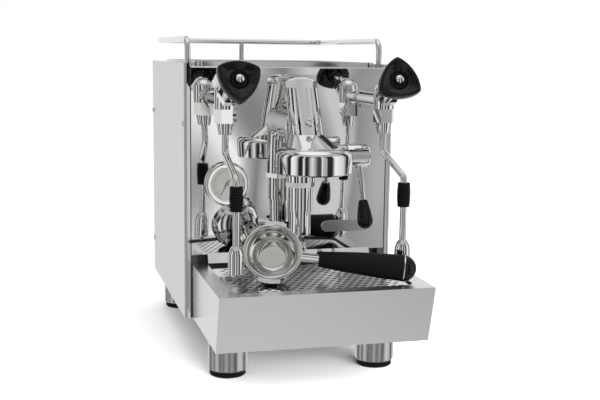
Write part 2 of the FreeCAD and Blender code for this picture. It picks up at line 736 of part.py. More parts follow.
def grate_outline_limits(inset):
    """X and Y limits of the opening that holds the grate, drawn in by inset."""
    half = TRAY_WIDTH / 2 - TRAY_LEDGE - inset
    front = FRONT_Y - TRAY_REACH + TRAY_LEDGE + inset
    return (-half, half), (front, FRONT_Y + TRAY_BEHIND - TRAY_REAR_LEDGE - inset)


def drip_tray():
    rim_under = TRAY_TOP_Z - TRAY_RIM_DEPTH
    tray = tray_prism(0, TRAY_BOTTOM_Z, TRAY_TOP_Z)
    tray = tray.cut(tray_prism(TRAY_WALL, TRAY_BOTTOM_Z + TRAY_WALL, rim_under))
    above = TRAY_TOP_Z + SHEET
    seat_x, seat_y = grate_outline_limits(0)
    well_x, well_y = grate_outline_limits(GRATE_SHELF)
    tray = tray.cut(rounded_block(seat_x, seat_y, (GRATE_Z, above), GRATE_CORNER))
    well_corner = GRATE_CORNER - GRATE_SHELF
    return tray.cut(rounded_block(well_x, well_y, (rim_under - TRAY_WALL, above), well_corner))


def drip_grate():
    """A flat plate with staggered rows of slots."""
    x_range, (front, _) = grate_outline_limits(LOOSE_FIT)
    rear = FRONT_Y - GRATE_REAR
    rows = int((rear - front - 2 * GRATE_BORDER - SLOT_WIDTH) // SLOT_PITCH_Y) + 1
    usable = x_range[1] - x_range[0] - 2 * GRATE_BORDER - SLOT_LENGTH
    columns = int(usable // SLOT_PITCH_X) + 1
    middle_y = (front + rear) / 2
    slot = slot_outline(SLOT_LENGTH, SLOT_WIDTH)
    slots = []
    for row in range(rows):
        odd = row % 2
        y = middle_y + (row - (rows - 1) / 2) * SLOT_PITCH_Y
        for column in range(columns - odd):
            x = (column - (columns - odd - 1) / 2) * SLOT_PITCH_X
            slots.append(placed(slot, vec(x, y, GRATE_Z)))
    outline = rounded_outline(x_range, (front, rear), GRATE_Z, GRATE_CORNER - LOOSE_FIT)
    face = Part.makeFace([outline] + slots, "Part::FaceMakerBullseye")
    return face.extrude(Z * GRATE_THICK)


# Brew group

def group_body():
    """The cast body: leaning trunk, bell with the portafilter's socket, neck, flange and bosses."""
    def disc(y, z, radius):
        return Part.Wire(Part.makeCircle(radius, vec(0, y, z), Z))

    trunk = Part.makeLoft([disc(CHAMBER_Y, GROUP_TOP_Z, GROUP_TOP_RADIUS),
                           disc(SHOULDER_Y, SHOULDER_Z, SHOULDER_RADIUS)], True, True)
    roof = (BELL_TOP_Z + SOCKET_ROOF_Z) / 2
    skirt = Part.makeLoft([disc(SHOULDER_Y, SHOULDER_Z, SHOULDER_RADIUS),
                           disc(BELL_Y, roof, BELL_CROWN_RADIUS)], True, True)
    crown_width = BELL_RADIUS - BELL_CROWN_RADIUS
    bulge = (BELL_RADIUS - crown_width * ROUND_CORNER, BELL_TOP_Z - crown_width * ROUND_CORNER)
    bell = turned((0, BELL_BOTTOM_Z), (BELL_RADIUS - BELL_EDGE, BELL_BOTTOM_Z),
                  (BELL_RADIUS, BELL_BOTTOM_Z + BELL_EDGE),
                  (BELL_RADIUS, BELL_TOP_Z - crown_width),
                  (bulge, (BELL_CROWN_RADIUS, BELL_TOP_Z)), (0, BELL_TOP_Z))
    bell = placed(bell, vec(0, BELL_Y, 0))
    neck = rod(vec(0, CHAMBER_Y, NECK_Z), vec(0, FRONT_Y, NECK_Z), NECK_RADIUS)
    neck_end = vec(0, FRONT_Y, NECK_Z)
    flange = rod(neck_end - Y * GROUP_FLANGE_THICK, neck_end, GROUP_FLANGE_RADIUS)
    boss = rod(vec(0, CHAMBER_Y, BOSS_BOTTOM_Z), vec(0, CHAMBER_Y, NECK_Z), BOSS_RADIUS)
    boss_end = vec(LEVER_BOSS_END, LEVER_Y, LEVER_Z)
    lever_boss = rod(vec(0, LEVER_Y, LEVER_Z), boss_end, LEVER_BOSS_RADIUS)
    mouth = vec(0, BELL_Y, BELL_BOTTOM_Z - SHEET)
    socket = rod(mouth, vec(0, BELL_Y, GASKET_LOW_Z), SOCKET_RADIUS)
    socket = socket.fuse(rod(mouth, vec(0, BELL_Y, SOCKET_ROOF_Z), GASKET_RADIUS))
    bore = rod(boss_end - X * (LEVER_SHAFT_DEPTH + LOOSE_FIT), boss_end + X * SHEET,
               LEVER_SHAFT_RADIUS + RUNNING_FIT)
    body = trunk.fuse([skirt, bell, neck, flange, boss, lever_boss]).cut(socket).cut(bore)
    seat, way = jet_plug_seat()
    pocket = Part.makeCylinder(JET_PLUG_RADIUS, JET_PLUG_LENGTH + JET_PLUG_SHANK)
    return body.cut(placed(pocket, seat, way))


def jet_plug_seat():
    """Bottom of the plug's pocket on the trunk's front, and the way that it faces."""
    share = (GROUP_TOP_Z - JET_PLUG_Z) / (GROUP_TOP_Z - SHOULDER_Z)
    axis_y = CHAMBER_Y + (SHOULDER_Y - CHAMBER_Y) * share
    radius = GROUP_TOP_RADIUS + (SHOULDER_RADIUS - GROUP_TOP_RADIUS) * share
    lean = math.atan2(CHAMBER_Y - SHOULDER_Y, GROUP_TOP_Z - SHOULDER_Z)
    way = vec(0, -math.cos(lean), math.sin(lean))
    return vec(0, axis_y - radius, JET_PLUG_Z) - way * JET_PLUG_SHANK, way


def jet_plug():
    seat, way = jet_plug_seat()
    height = JET_PLUG_SHANK + JET_PLUG_LENGTH
    recess = height - JET_PLUG_RECESS
    plug = turned((0, 0), (JET_PLUG_RADIUS, 0), (JET_PLUG_RADIUS, height - JET_PLUG_EDGE),
                  (JET_PLUG_RADIUS - JET_PLUG_EDGE, height), (JET_PLUG_RADIUS / 2, height),
                  (JET_PLUG_RADIUS / 2, recess), (0, recess))
    return placed(plug, seat, way)


def group_top_nut():
    """A hexagon nut with a domed top."""
    corner = TOP_NUT_FLATS / math.sqrt(3)
    dome = turned((0, 0), (corner, 0), (corner, TOP_NUT_FLANK), cap(corner, TOP_NUT_FLANK, TOP_NUT_HEIGHT))
    return placed(hexagon(TOP_NUT_FLATS, TOP_NUT_HEIGHT).common(dome), vec(0, CHAMBER_Y, GROUP_TOP_Z))


def lower_chamber():
    """The stepped barrel under the group, with a hexagon at its top."""
    step = vec(0, CHAMBER_Y, CHAMBER_STEP_Z)
    nut_under = step + Z * CHAMBER_UPPER
    nut = placed(hexagon(CHAMBER_HEX_FLATS, CHAMBER_HEX_HEIGHT), nut_under)
    upper = rod(step, nut_under, CHAMBER_RADIUS)
    lower = rod(vec(0, CHAMBER_Y, CHAMBER_BOTTOM_Z), step, CHAMBER_STEP_RADIUS)
    return nut.fuse([upper, lower])


def drain_spout():
    """A short tube under the lower chamber that leads the drain water forwards."""
    top = vec(0, CHAMBER_Y, CHAMBER_BOTTOM_Z)
    drop = Z * (SPOUT_DROP / 3)
    forwards = Y * -SPOUT_REACH
    points = [top, top - drop, top - drop * 2 + forwards, top - drop * 3 + forwards]
    bends = [SPOUT_RADIUS, SPOUT_RADIUS]
    return bent_bar(points, bends, SPOUT_RADIUS).cut(bent_bar(points, bends, SPOUT_BORE))


def group_gasket():
    inner = GASKET_RADIUS - GASKET_WIDTH
    ring = turned((inner, GASKET_LOW_Z), (GASKET_RADIUS, GASKET_LOW_Z), (GASKET_RADIUS, SOCKET_ROOF_Z),
                  (inner, SOCKET_ROOF_Z))
    return placed(ring, vec(0, BELL_Y, 0))


def shower_screen():
    """A thin perforated dish that closes the middle of the gasket."""
    radius = GASKET_RADIUS - GASKET_WIDTH
    low = GASKET_LOW_Z
    screen = turned((0, low), (radius, low), (radius, SOCKET_ROOF_Z), (radius - SCREEN_THICK, SOCKET_ROOF_Z),
                    (radius - SCREEN_THICK, low + SCREEN_THICK), (0, low + SCREEN_THICK))
    holes = []
    for ring in range(1, SCREEN_RINGS + 1):
        count = 6 * ring
        for step in range(count):
            angle = 2 * math.pi * step / count
            reach = ring * SCREEN_RING_PITCH
            foot = vec(reach * math.cos(angle), reach * math.sin(angle), low - SCREEN_THICK)
            holes.append(Part.makeCylinder(SCREEN_HOLE_RADIUS, 3 * SCREEN_THICK, foot))
    return placed(screen.cut(Part.Compound(holes)), vec(0, BELL_Y, 0))


# Brew lever

def lever_way():
    """The way that the lever points at rest."""
    lean = math.radians(LEVER_REST_ANGLE)
    return vec(0, -math.sin(lean), -math.cos(lean))


def lever_hub_middle():
    return vec(LEVER_BOSS_END + LOOSE_FIT + LEVER_ROD_X, LEVER_Y, LEVER_Z)


def lever_shaft():
    start = vec(LEVER_BOSS_END - LEVER_SHAFT_DEPTH, LEVER_Y, LEVER_Z)
    end = vec(LEVER_BOSS_END + LOOSE_FIT + LEVER_HUB_WIDTH / 2, LEVER_Y, LEVER_Z)
    return rod(start, end, LEVER_SHAFT_RADIUS)


def lever_arm():
    hub = turned((0, 0), (LEVER_HUB_RADIUS - LEVER_HUB_EDGE, 0), (LEVER_HUB_RADIUS, LEVER_HUB_EDGE),
                 (LEVER_HUB_RADIUS, LEVER_HUB_WIDTH - LEVER_HUB_EDGE),
                 (LEVER_HUB_RADIUS - LEVER_HUB_EDGE, LEVER_HUB_WIDTH), (0, LEVER_HUB_WIDTH))
    hub = placed(hub, vec(LEVER_BOSS_END + LOOSE_FIT, LEVER_Y, LEVER_Z), X, Y)
    middle = lever_hub_middle()
    arm = hub.fuse(rod(middle, middle + lever_way() * LEVER_ROD_LENGTH, LEVER_ROD_RADIUS))
    bore = rod(vec(LEVER_BOSS_END, LEVER_Y, LEVER_Z),
               vec(LEVER_BOSS_END + LOOSE_FIT + LEVER_HUB_WIDTH / 2, LEVER_Y, LEVER_Z), LEVER_SHAFT_RADIUS)
    return arm.cut(bore)


def lever_knob():
    """A teardrop grip with a round end, bored for the lever's rod."""
    widest = LEVER_KNOB_LENGTH - LEVER_KNOB_RADIUS
    side = (LEVER_KNOB_TOP + (LEVER_KNOB_RADIUS - LEVER_KNOB_TOP) * GRIP_SWELL, widest / 2)
    grip = turned((0, 0), (LEVER_KNOB_TOP, 0), (side, (LEVER_KNOB_RADIUS, widest)),
                  cap(LEVER_KNOB_RADIUS, widest, LEVER_KNOB_LENGTH))
    bore_depth = LEVER_ROD_LENGTH - LEVER_KNOB_START
    grip = grip.cut(Part.makeCylinder(LEVER_ROD_RADIUS, bore_depth))
    way = lever_way()
    return placed(grip, lever_hub_middle() + way * LEVER_KNOB_START, way)


# Taps, made for the right side

def valve_middle():
    return vec(VALVE_X, VALVE_Y, VALVE_Z)


def knob_way():
    """The way that a tap's knob faces."""
    tilt = math.radians(KNOB_TILT)
    splay = math.radians(KNOB_SPLAY)
    return vec(-math.sin(splay) * math.cos(tilt), -math.cos(splay) * math.cos(tilt), math.sin(tilt))


def valve_body():
    """Inlet from the panel, round body with a dome, and the bonnet towards the knob."""
    middle = valve_middle()
    top = VALVE_Z + VALVE_RADIUS - JOINT_NUT_TOP_Z
    trunk = turned((0, 0), (VALVE_RADIUS, 0), (VALVE_RADIUS, top), cap(VALVE_RADIUS, top, top + VALVE_DOME))
    trunk = placed(trunk, vec(VALVE_X, VALVE_Y, JOINT_NUT_TOP_Z))
    inlet = rod(middle, vec(VALVE_X, FRONT_Y + 2 * SHEET, VALVE_Z), INLET_RADIUS)
    panel_nut = hexagon(INLET_NUT_FLATS, INLET_NUT_THICK)
    panel_nut = placed(panel_nut, vec(VALVE_X, FRONT_Y - INLET_NUT_THICK, VALVE_Z), Y)
    way = knob_way()
    bonnet = rod(middle, middle + way * BONNET_LENGTH, BONNET_RADIUS)
    bonnet_nut = placed(hexagon(BONNET_NUT_FLATS, BONNET_NUT_LENGTH), middle + way * BONNET_NUT_START, way)
    bore_start = middle + way * (BONNET_LENGTH - STEM_DEPTH - LOOSE_FIT)
    bore = rod(bore_start, middle + way * (BONNET_LENGTH + SHEET), STEM_RADIUS + RUNNING_FIT)
    return trunk.fuse([inlet, panel_nut, bonnet, bonnet_nut]).cut(bore)


def valve_stem():
    way = knob_way()
    start = valve_middle() + way * (BONNET_LENGTH - STEM_DEPTH)
    return rod(start, valve_middle() + way * (KNOB_BACK + KNOB_SOCKET_DEPTH), STEM_RADIUS)


def lobed_outline(turn):
    """A triangle with three round lobes and slightly bulged sides; a lobe points along the turn."""
    def polar(radius, degrees):
        angle = math.radians(degrees)
        return vec(radius * math.cos(angle), radius * math.sin(angle), 0)

    half_pitch = KNOB_LOBE_REACH * math.sin(math.radians(60))
    to_lobe = KNOB_SIDE_RADIUS - KNOB_LOBE_RADIUS
    set_back = math.sqrt(to_lobe ** 2 - half_pitch ** 2) - KNOB_LOBE_REACH / 2
    steps = []
    for lobe in range(3):
        heading = turn + 120 * lobe
        tip = polar(KNOB_LOBE_REACH + KNOB_LOBE_RADIUS, heading)
        lobe_middle = polar(KNOB_LOBE_REACH, heading)
        ends = []
        for side in (-60, 60):
            side_middle = polar(-set_back, heading + side)
            ends.append(lobe_middle + (lobe_middle - side_middle).normalize() * KNOB_LOBE_RADIUS)
        if lobe == 0:
            start = ends[0]
        else:
            steps.append((polar(KNOB_SIDE_RADIUS - set_back, heading - 60), ends[0]))
        steps.append((tip, ends[1]))
    steps.append((polar(KNOB_SIDE_RADIUS - set_back, turn - 60), start))
    return wire(start, *steps)


def knob(turn):
    """A three-lobed knob with round edges, a dish for its screw and a socket for the stem."""
    block = Part.Face(lobed_outline(turn)).extrude(Z * KNOB_THICK)
    rims = [edge for edge in block.Edges if edge.BoundBox.ZLength < 1e-6]
    block = block.makeFillet(KNOB_EDGE, rims)
    dish_floor = vec(0, 0, KNOB_THICK - KNOB_DISH_DEPTH)
    dish = Part.makeCylinder(KNOB_DISH_RADIUS, KNOB_DISH_DEPTH + SHEET, dish_floor)
    socket = Part.makeCylinder(STEM_RADIUS, KNOB_SOCKET_DEPTH)
    way = knob_way()
    return placed(block.cut(dish).cut(socket), valve_middle() + way * KNOB_BACK, way)


def knob_screw():
    rim = KNOB_SCREW_HEIGHT / 2
    head = turned((0, 0), (KNOB_SCREW_RADIUS, 0), (KNOB_SCREW_RADIUS, rim),
                  cap(KNOB_SCREW_RADIUS, rim, KNOB_SCREW_HEIGHT))
    way = knob_way()
    return placed(head, valve_middle() + way * (KNOB_BACK + KNOB_THICK - KNOB_DISH_DEPTH), way)


def joint_nut():
    """Hexagon nut and tapered collar in one, hollow for the wand's ball."""
    centre = vec(VALVE_X, VALVE_Y, 0)
    nut = placed(hexagon(JOINT_NUT_FLATS, JOINT_NUT_HEIGHT), centre + Z * COLLAR_TOP_Z)
    collar = Part.makeCone(COLLAR_BOTTOM_RADIUS, COLLAR_TOP_RADIUS, COLLAR_HEIGHT,
                           centre + Z * COLLAR_BOTTOM_Z)
    bore = Part.makeCylinder(JOINT_BORE, JOINT_NUT_TOP_Z - BALL_Z - SHEET, centre + Z * BALL_Z)
    seat = Part.makeSphere(BALL_RADIUS + LOOSE_FIT, centre + Z * BALL_Z)
    mouth = Part.makeCylinder(COLLAR_MOUTH, BALL_Z - COLLAR_BOTTOM_Z, centre + Z * COLLAR_BOTTOM_Z)
    return nut.fuse(collar).cut(bore.fuse([seat, mouth]))


def wand_ball():
    centre = vec(VALVE_X, VALVE_Y, BALL_Z)
    hole = Part.makeCylinder(PIPE_RADIUS + RUNNING_FIT, 4 * BALL_RADIUS, centre - Z * 2 * BALL_RADIUS)
    return Part.makeSphere(BALL_RADIUS, centre).cut(hole)


def swung(shape, turn):
    """Turn a wand piece outwards about its ball."""
    moved = shape.copy()
    moved.rotate(vec(VALVE_X, VALVE_Y, 0), Z, turn)
    return moved


def wand_pipe():
    front = VALVE_Y - WAND_REACH
    points = [vec(VALVE_X, VALVE_Y, BALL_Z + PIPE_ABOVE_BALL), vec(VALVE_X, VALVE_Y, WAND_UPPER_BEND_Z),
              vec(VALVE_X, front, WAND_LOWER_BEND_Z), vec(VALVE_X, front, TIP_TOP_Z - TIP_SOCKET)]
    return bent_bar(points, [WAND_BEND_RADIUS, WAND_BEND_RADIUS], PIPE_RADIUS)


def wand_grip():
    """A rubber sleeve with round ribs."""
    pitch = GRIP_LENGTH / GRIP_RIBS
    steps = []
    for rib in range(GRIP_RIBS):
        low = -GRIP_LENGTH + rib * pitch
        along = (rib + 0.5) / GRIP_RIBS
        swell = GRIP_RIB_RADIUS * (1 - GRIP_BARREL + GRIP_BARREL * math.sin(math.pi * along))
        steps.append(((swell, low + pitch / 2), (GRIP_GROOVE_RADIUS, low + pitch)))
    sleeve = turned((PIPE_RADIUS, -GRIP_LENGTH), (GRIP_GROOVE_RADIUS, -GRIP_LENGTH), *steps,
                    (PIPE_RADIUS, 0))
    return placed(sleeve, vec(VALVE_X, VALVE_Y - WAND_REACH, GRIP_TOP_Z))


def wand_tip():
    """A bottle-shaped tip with a small nozzle."""
    shoulder = ((TIP_NECK_RADIUS + TIP_RADIUS) / 2 + TIP_SHOULDER_BULGE, -TIP_SHOULDER / 2 - TIP_EDGE)
    end = -TIP_LENGTH - TIP_NOZZLE_LENGTH
    tip = turned((0, end), (TIP_NOZZLE_RADIUS - TIP_EDGE, end), (TIP_NOZZLE_RADIUS, -TIP_LENGTH),
                 (TIP_RADIUS - TIP_EDGE, -TIP_LENGTH), (TIP_RADIUS, -TIP_LENGTH + TIP_EDGE),
                 (TIP_RADIUS, -TIP_SHOULDER), (shoulder, (TIP_NECK_RADIUS, 0)), (PIPE_RADIUS, 0),
                 (PIPE_RADIUS, -TIP_SOCKET), (0, -TIP_SOCKET))
    return placed(tip, vec(VALVE_X, VALVE_Y - WAND_REACH, TIP_TOP_Z))


# Pressure gauge

def gauge_case():
    depth = GAUGE_PROUD + GAUGE_BODY_DEPTH
    glass_seat = GAUGE_WINDOW_RADIUS + GLASS_INSET
    glass_low = GLASS_INSET + GLASS_THICK
    corner = GAUGE_BEZEL_EDGE * ROUND_CORNER
    edge = (GAUGE_RADIUS - corner, corner)
    case = turned((0, GAUGE_POCKET), (GAUGE_WINDOW_RADIUS, GAUGE_POCKET), (GAUGE_WINDOW_RADIUS, glass_low),
                  (glass_seat, glass_low), (glass_seat, 0), (GAUGE_RADIUS - GAUGE_BEZEL_EDGE, 0),
                  (edge, (GAUGE_RADIUS, GAUGE_BEZEL_EDGE)), (GAUGE_RADIUS, GAUGE_PROUD),
                  (GAUGE_BODY_RADIUS, GAUGE_PROUD), (GAUGE_BODY_RADIUS, depth), (0, depth))
    return placed(case, vec(GAUGE_X, GAUGE_FACE_Y, GAUGE_Z), Y)


def gauge_dial():
    dial = Part.makeCylinder(GAUGE_WINDOW_RADIUS, DIAL_THICK)
    pin = Part.makeCylinder(NEEDLE_PIN_RADIUS, DIAL_THICK + 2 * NEEDLE_THICK)
    return placed(dial.fuse(pin), vec(GAUGE_X, DIAL_Y, GAUGE_Z), Y * -1)


def gauge_needle():
    half = NEEDLE_WIDTH / 2
    outline = wire(vec(-NEEDLE_TAIL, -half, 0), vec(NEEDLE_LENGTH, -half / 3, 0),
                   vec(NEEDLE_LENGTH, half / 3, 0), vec(-NEEDLE_TAIL, half, 0))
    blade = Part.Face(outline).extrude(Z * NEEDLE_THICK)
    hub = Part.makeCylinder(NEEDLE_HUB_RADIUS, NEEDLE_THICK)
    hole = Part.makeCylinder(NEEDLE_PIN_RADIUS + RUNNING_FIT, 3 * NEEDLE_THICK, vec(0, 0, -NEEDLE_THICK))
    angle = math.radians(NEEDLE_REST_ANGLE)
    pointing = vec(math.cos(angle), 0, math.sin(angle))
    seat = vec(GAUGE_X, DIAL_Y - DIAL_THICK - LOOSE_FIT, GAUGE_Z)
    return placed(blade.fuse(hub).cut(hole), seat, Y * -1, pointing)


def gauge_glass():
    radius = GAUGE_WINDOW_RADIUS + GLASS_INSET
    back = vec(GAUGE_X, GAUGE_FACE_Y + GLASS_INSET, GAUGE_Z)
    return placed(Part.makeCylinder(radius, GLASS_THICK), back, Y)


# Portafilter

def portafilter_placed(shape):
    """Stand a piece made in the portafilter's own frame on the grate, as it leans there."""
    turn = math.radians(PORTAFILTER_TURN)
    lean = math.radians(PORTAFILTER_LEAN)
    roll = math.radians(PORTAFILTER_ROLL)
    opening = vec(-math.sin(turn) * math.cos(lean), -math.cos(turn) * math.cos(lean), math.sin(lean))
    level = vec(math.cos(turn), -math.sin(turn), 0)
    upright = opening.cross(level)
    handle = level * math.cos(roll) - upright * math.sin(roll)
    rim = vec(PORTAFILTER_X, FRONT_Y - PORTAFILTER_AHEAD, PORTAFILTER_Z)
    return placed(shape, rim, opening, handle)


def portafilter_body():
    """Bowl with two ears and the arm that carries the handle."""
    inner = BOWL_RADIUS - BOWL_WALL
    floor = -BOWL_DEPTH + BOWL_FLOOR
    curve = ((BOWL_RADIUS + BOWL_FOOT_RADIUS) / 2 + BOWL_BULGE,
             -(BOWL_STRAIGHT + BOWL_DEPTH + BOWL_BULGE) / 2)
    bowl = turned((POUR_BORE, -BOWL_DEPTH), (BOWL_FOOT_RADIUS, -BOWL_DEPTH),
                  (curve, (BOWL_RADIUS, -BOWL_STRAIGHT)), (BOWL_RADIUS, -BOWL_RIM_HEIGHT),
                  (BOWL_RIM_RADIUS, -BOWL_RIM_HEIGHT), (BOWL_RIM_RADIUS, 0), (inner, 0),
                  (inner, -BOWL_STRAIGHT), (BOWL_FOOT_RADIUS, floor), (POUR_BORE, floor))
    ears = box(span(0, EAR_WIDTH), span(0, 2 * EAR_REACH), (-EAR_TOP - EAR_THICK, -EAR_TOP))
    mid_wall = inner + BOWL_WALL / 2
    ring = turned((mid_wall, -BOWL_RIM_HEIGHT), (EAR_REACH, -BOWL_RIM_HEIGHT), (EAR_REACH, 0), (mid_wall, 0))
    arm_end = HANDLE_START + HANDLE_TANG
    arm = rod(vec(mid_wall, 0, -NECK_ARM_DROP), vec(arm_end, 0, -NECK_ARM_DROP), NECK_ARM_RADIUS)
    inside = Part.makeCylinder(inner, BOWL_STRAIGHT, vec(0, 0, -BOWL_STRAIGHT))
    body = bowl.fuse([ears.common(ring), arm.cut(inside)])
    return portafilter_placed(body)


def portafilter_handle():
    """A round grip that swells towards its domed end."""
    body = HANDLE_LENGTH - HANDLE_END_RADIUS
    side = (HANDLE_START_RADIUS + (HANDLE_END_RADIUS - HANDLE_START_RADIUS) * GRIP_SWELL, body / 2)
    grip = turned((0, 0), (HANDLE_START_RADIUS, 0), (side, (HANDLE_END_RADIUS, body)),
                  cap(HANDLE_END_RADIUS, body, HANDLE_LENGTH))
    grip = grip.cut(Part.makeCylinder(NECK_ARM_RADIUS, HANDLE_TANG))
    return portafilter_placed(placed(grip, vec(HANDLE_START, 0, -NECK_ARM_DROP), X, Y))


def filter_basket():
    """A stepped basket whose lip rests on the bowl's rim."""
    wall = BASKET_WALL
    taper = BASKET_STEP_DEPTH + wall * 2
    profile = [(BASKET_LIP_RADIUS, 0), (BASKET_LIP_RADIUS, BASKET_LIP_THICK),
               (BASKET_RADIUS - wall, BASKET_LIP_THICK), (BASKET_RADIUS - wall, -BASKET_STEP_DEPTH),
               (BASKET_STEP_RADIUS - wall, -taper + wall), (BASKET_FLOOR_RADIUS - wall, -BASKET_DEPTH + wall),
               (0, -BASKET_DEPTH + wall), (0, -BASKET_DEPTH), (BASKET_FLOOR_RADIUS, -BASKET_DEPTH),
               (BASKET_STEP_RADIUS, -taper), (BASKET_RADIUS, -BASKET_STEP_DEPTH - wall), (BASKET_RADIUS, 0)]
    return portafilter_placed(turned(*profile))


def portafilter_spout():
    """A short pouring pipe with a collar under the bowl."""
    collar = POUR_RADIUS + POUR_COLLAR
    collar_end = -BOWL_DEPTH - POUR_COLLAR_HEIGHT
    end = -BOWL_DEPTH - POUR_LENGTH
    spout = turned((POUR_BORE, -BOWL_DEPTH), (collar, -BOWL_DEPTH), (collar, collar_end),
                   (POUR_RADIUS, collar_end - POUR_EDGE), (POUR_RADIUS - POUR_EDGE, end), (POUR_BORE, end))
    return portafilter_placed(spout)


# Inside

def boiler():
    """A lying tank with domed ends on two saddles."""
    half = BOILER_LENGTH / 2
    middle = vec(0, FRONT_Y + BOILER_Y, BOILER_Z)
    right_half = turned((0, 0), (BOILER_RADIUS, 0), (BOILER_RADIUS, half),
                        cap(BOILER_RADIUS, half, half + BOILER_DOME))
    right_half = placed(right_half, middle, X, Y)
    saddle_y = span(middle.y, BOILER_SADDLE_DEPTH)
    saddle = box(span(BOILER_SADDLE_X, BOILER_SADDLE_WIDTH), saddle_y, (BASE_TOP_Z, BOILER_Z))
    return right_half.fuse([mirrored(right_half), saddle, mirrored(saddle)]).removeSplitter()


def feed_pipe():
    """The pipe from the boiler through the front panel to the brew group."""
    boiler_front = FRONT_Y + BOILER_Y
    top = BOILER_Z + BOILER_RADIUS
    points = [vec(0, FRONT_Y, NECK_Z), vec(0, boiler_front, NECK_Z), vec(0, boiler_front, top - SHEET)]
    pipe = bent_bar(points, [FEED_PIPE_BEND], FEED_PIPE_RADIUS)
    middle = vec(0, boiler_front, BOILER_Z)
    return pipe.cut(rod(middle - X * BOILER_LENGTH / 2, middle + X * BOILER_LENGTH / 2, BOILER_RADIUS))


def water_tank():
    """An open-topped tank behind the boiler."""
    rear = REAR_Y - TANK_REAR
    low = BASE_TOP_Z + TANK_BOTTOM_GAP
    x_range = span(0, TANK_WIDTH)
    y_range = (rear - TANK_DEPTH, rear)
    block = rounded_block(x_range, y_range, (low, COVER_UNDER_Z - TANK_TOP_GAP), CUP_TRAY_CORNER)
    hollow = rounded_block((x_range[0] + TANK_WALL, x_range[1] - TANK_WALL),
                           (y_range[0] + TANK_WALL, y_range[1] - TANK_WALL),
                           (low + TANK_WALL, COVER_UNDER_Z), CUP_TRAY_CORNER - TANK_WALL)
    return block.cut(hollow)


def tank_stand():
    """A bent sheet bridge that carries the tank."""
    rear = REAR_Y - TANK_REAR
    top = BASE_TOP_Z + TANK_BOTTOM_GAP
    half = TANK_WIDTH / 2
    y_range = (rear - TANK_DEPTH + TANK_STAND_INSET, rear - TANK_STAND_INSET)
    shelf = box((-half, half), y_range, (top - TANK_SHELF, top))
    legs = [box(x_range, y_range, (BASE_TOP_Z, top))
            for x_range in ((-half, -half + TANK_SHELF), (half - TANK_SHELF, half))]
    return shelf.fuse(legs).removeSplitter()


def pump():
    """A vibratory pump: square coil body with a barrel through it."""
    y = FRONT_Y + PUMP_Y
    coil_y = (y, y + PUMP_COIL_DEPTH)
    body = box(span(PUMP_X, PUMP_WIDTH), coil_y, (BASE_TOP_Z, BASE_TOP_Z + PUMP_HEIGHT))
    z = BASE_TOP_Z + PUMP_HEIGHT / 2
    barrel = rod(vec(PUMP_X, y, z), vec(PUMP_X, y + PUMP_DEPTH, z), PUMP_BARREL_RADIUS)
    return body.fuse(barrel)


def control_box():
    y = FRONT_Y + CONTROL_Y
    z_range = (BASE_TOP_Z, BASE_TOP_Z + CONTROL_HEIGHT)
    return box(span(CONTROL_X, CONTROL_WIDTH), (y, y + CONTROL_DEPTH), z_range)


# Switch and inlet

def switch_middle():
    return vec(HALF_WIDTH, FRONT_Y + ROCKER_Y, ROCKER_Z)


def switch_frame():
    """The rocker's frame, open towards the right, with a pin on each side."""
    middle = switch_middle()
    bezel = box((HALF_WIDTH, HALF_WIDTH + ROCKER_BEZEL_PROUD),
                span(middle.y, ROCKER_WIDTH + 2 * (ROCKER_WALL + ROCKER_BEZEL)),
                span(middle.z, ROCKER_HEIGHT + 2 * (ROCKER_WALL + ROCKER_BEZEL)))
    back = HALF_WIDTH - 2 * ROCKER_DEPTH
    body = box((back, HALF_WIDTH), span(middle.y, ROCKER_WIDTH + 2 * ROCKER_WALL),
               span(middle.z, ROCKER_HEIGHT + 2 * ROCKER_WALL))
    well = box((back + ROCKER_WALL, HALF_WIDTH + 2 * ROCKER_BEZEL_PROUD), span(middle.y, ROCKER_WIDTH),
               span(middle.z, ROCKER_HEIGHT))
    frame = bezel.fuse(body).cut(well)
    pivot = middle - X * ROCKER_PIN_DEPTH
    half = ROCKER_WIDTH / 2 + ROCKER_WALL / 2
    return frame.fuse(rod(pivot - Y * half, pivot + Y * half, ROCKER_PIN_RADIUS))


def power_rocker():
    """The rocker key: a shallow wedge that tips about the pin."""
    middle = switch_middle()
    half_width = ROCKER_WIDTH / 2 - LOOSE_FIT
    half_height = ROCKER_HEIGHT / 2 - 3 * LOOSE_FIT
    proud = ROCKER_KEY_PROUD
    profile = [(-ROCKER_DEPTH, -half_height / 2), (0, -half_height), (proud, -half_height), (proud / 2, 0),
               (proud, half_height), (0, half_height), (-ROCKER_DEPTH, half_height / 2)]
    points = [middle + vec(x, -half_width, z) for x, z in profile]
    key = Part.Face(wire(*points)).extrude(Y * 2 * half_width)
    pivot = middle - X * ROCKER_PIN_DEPTH
    hole = rod(pivot - Y * ROCKER_WIDTH, pivot + Y * ROCKER_WIDTH, ROCKER_PIN_RADIUS + RUNNING_FIT)
    key = key.cut(hole)
    key.rotate(pivot, Y, ROCKER_TILT)
    return key


def power_inlet():
    """A panel socket with three flat pins for a plug-in lead."""
    outside = REAR_Y + INLET_FACE_THICK
    well_floor = outside - INLET_WELL_DEPTH
    face = box(span(INLET_X, INLET_FACE_WIDTH), (REAR_Y, outside), span(INLET_Z, INLET_FACE_HEIGHT))
    body = box(span(INLET_X, INLET_BODY_WIDTH), (REAR_Y - INLET_BODY_DEPTH, REAR_Y),
               span(INLET_Z, INLET_BODY_HEIGHT))
    well = box(span(INLET_X, INLET_WELL_WIDTH), (well_floor, outside + SHEET),
               span(INLET_Z, INLET_WELL_HEIGHT))
    pins = []
    for step in (-1, 0, 1):
        z = INLET_Z + (0.5 - abs(step)) * INLET_PIN_HEIGHT
        pins.append(box(span(INLET_X + step * INLET_PIN_PITCH, INLET_PIN_WIDTH),
                        (well_floor, well_floor + INLET_PIN_LENGTH), span(z, INLET_PIN_HEIGHT)))
    return face.fuse(body).cut(well).fuse(pins)


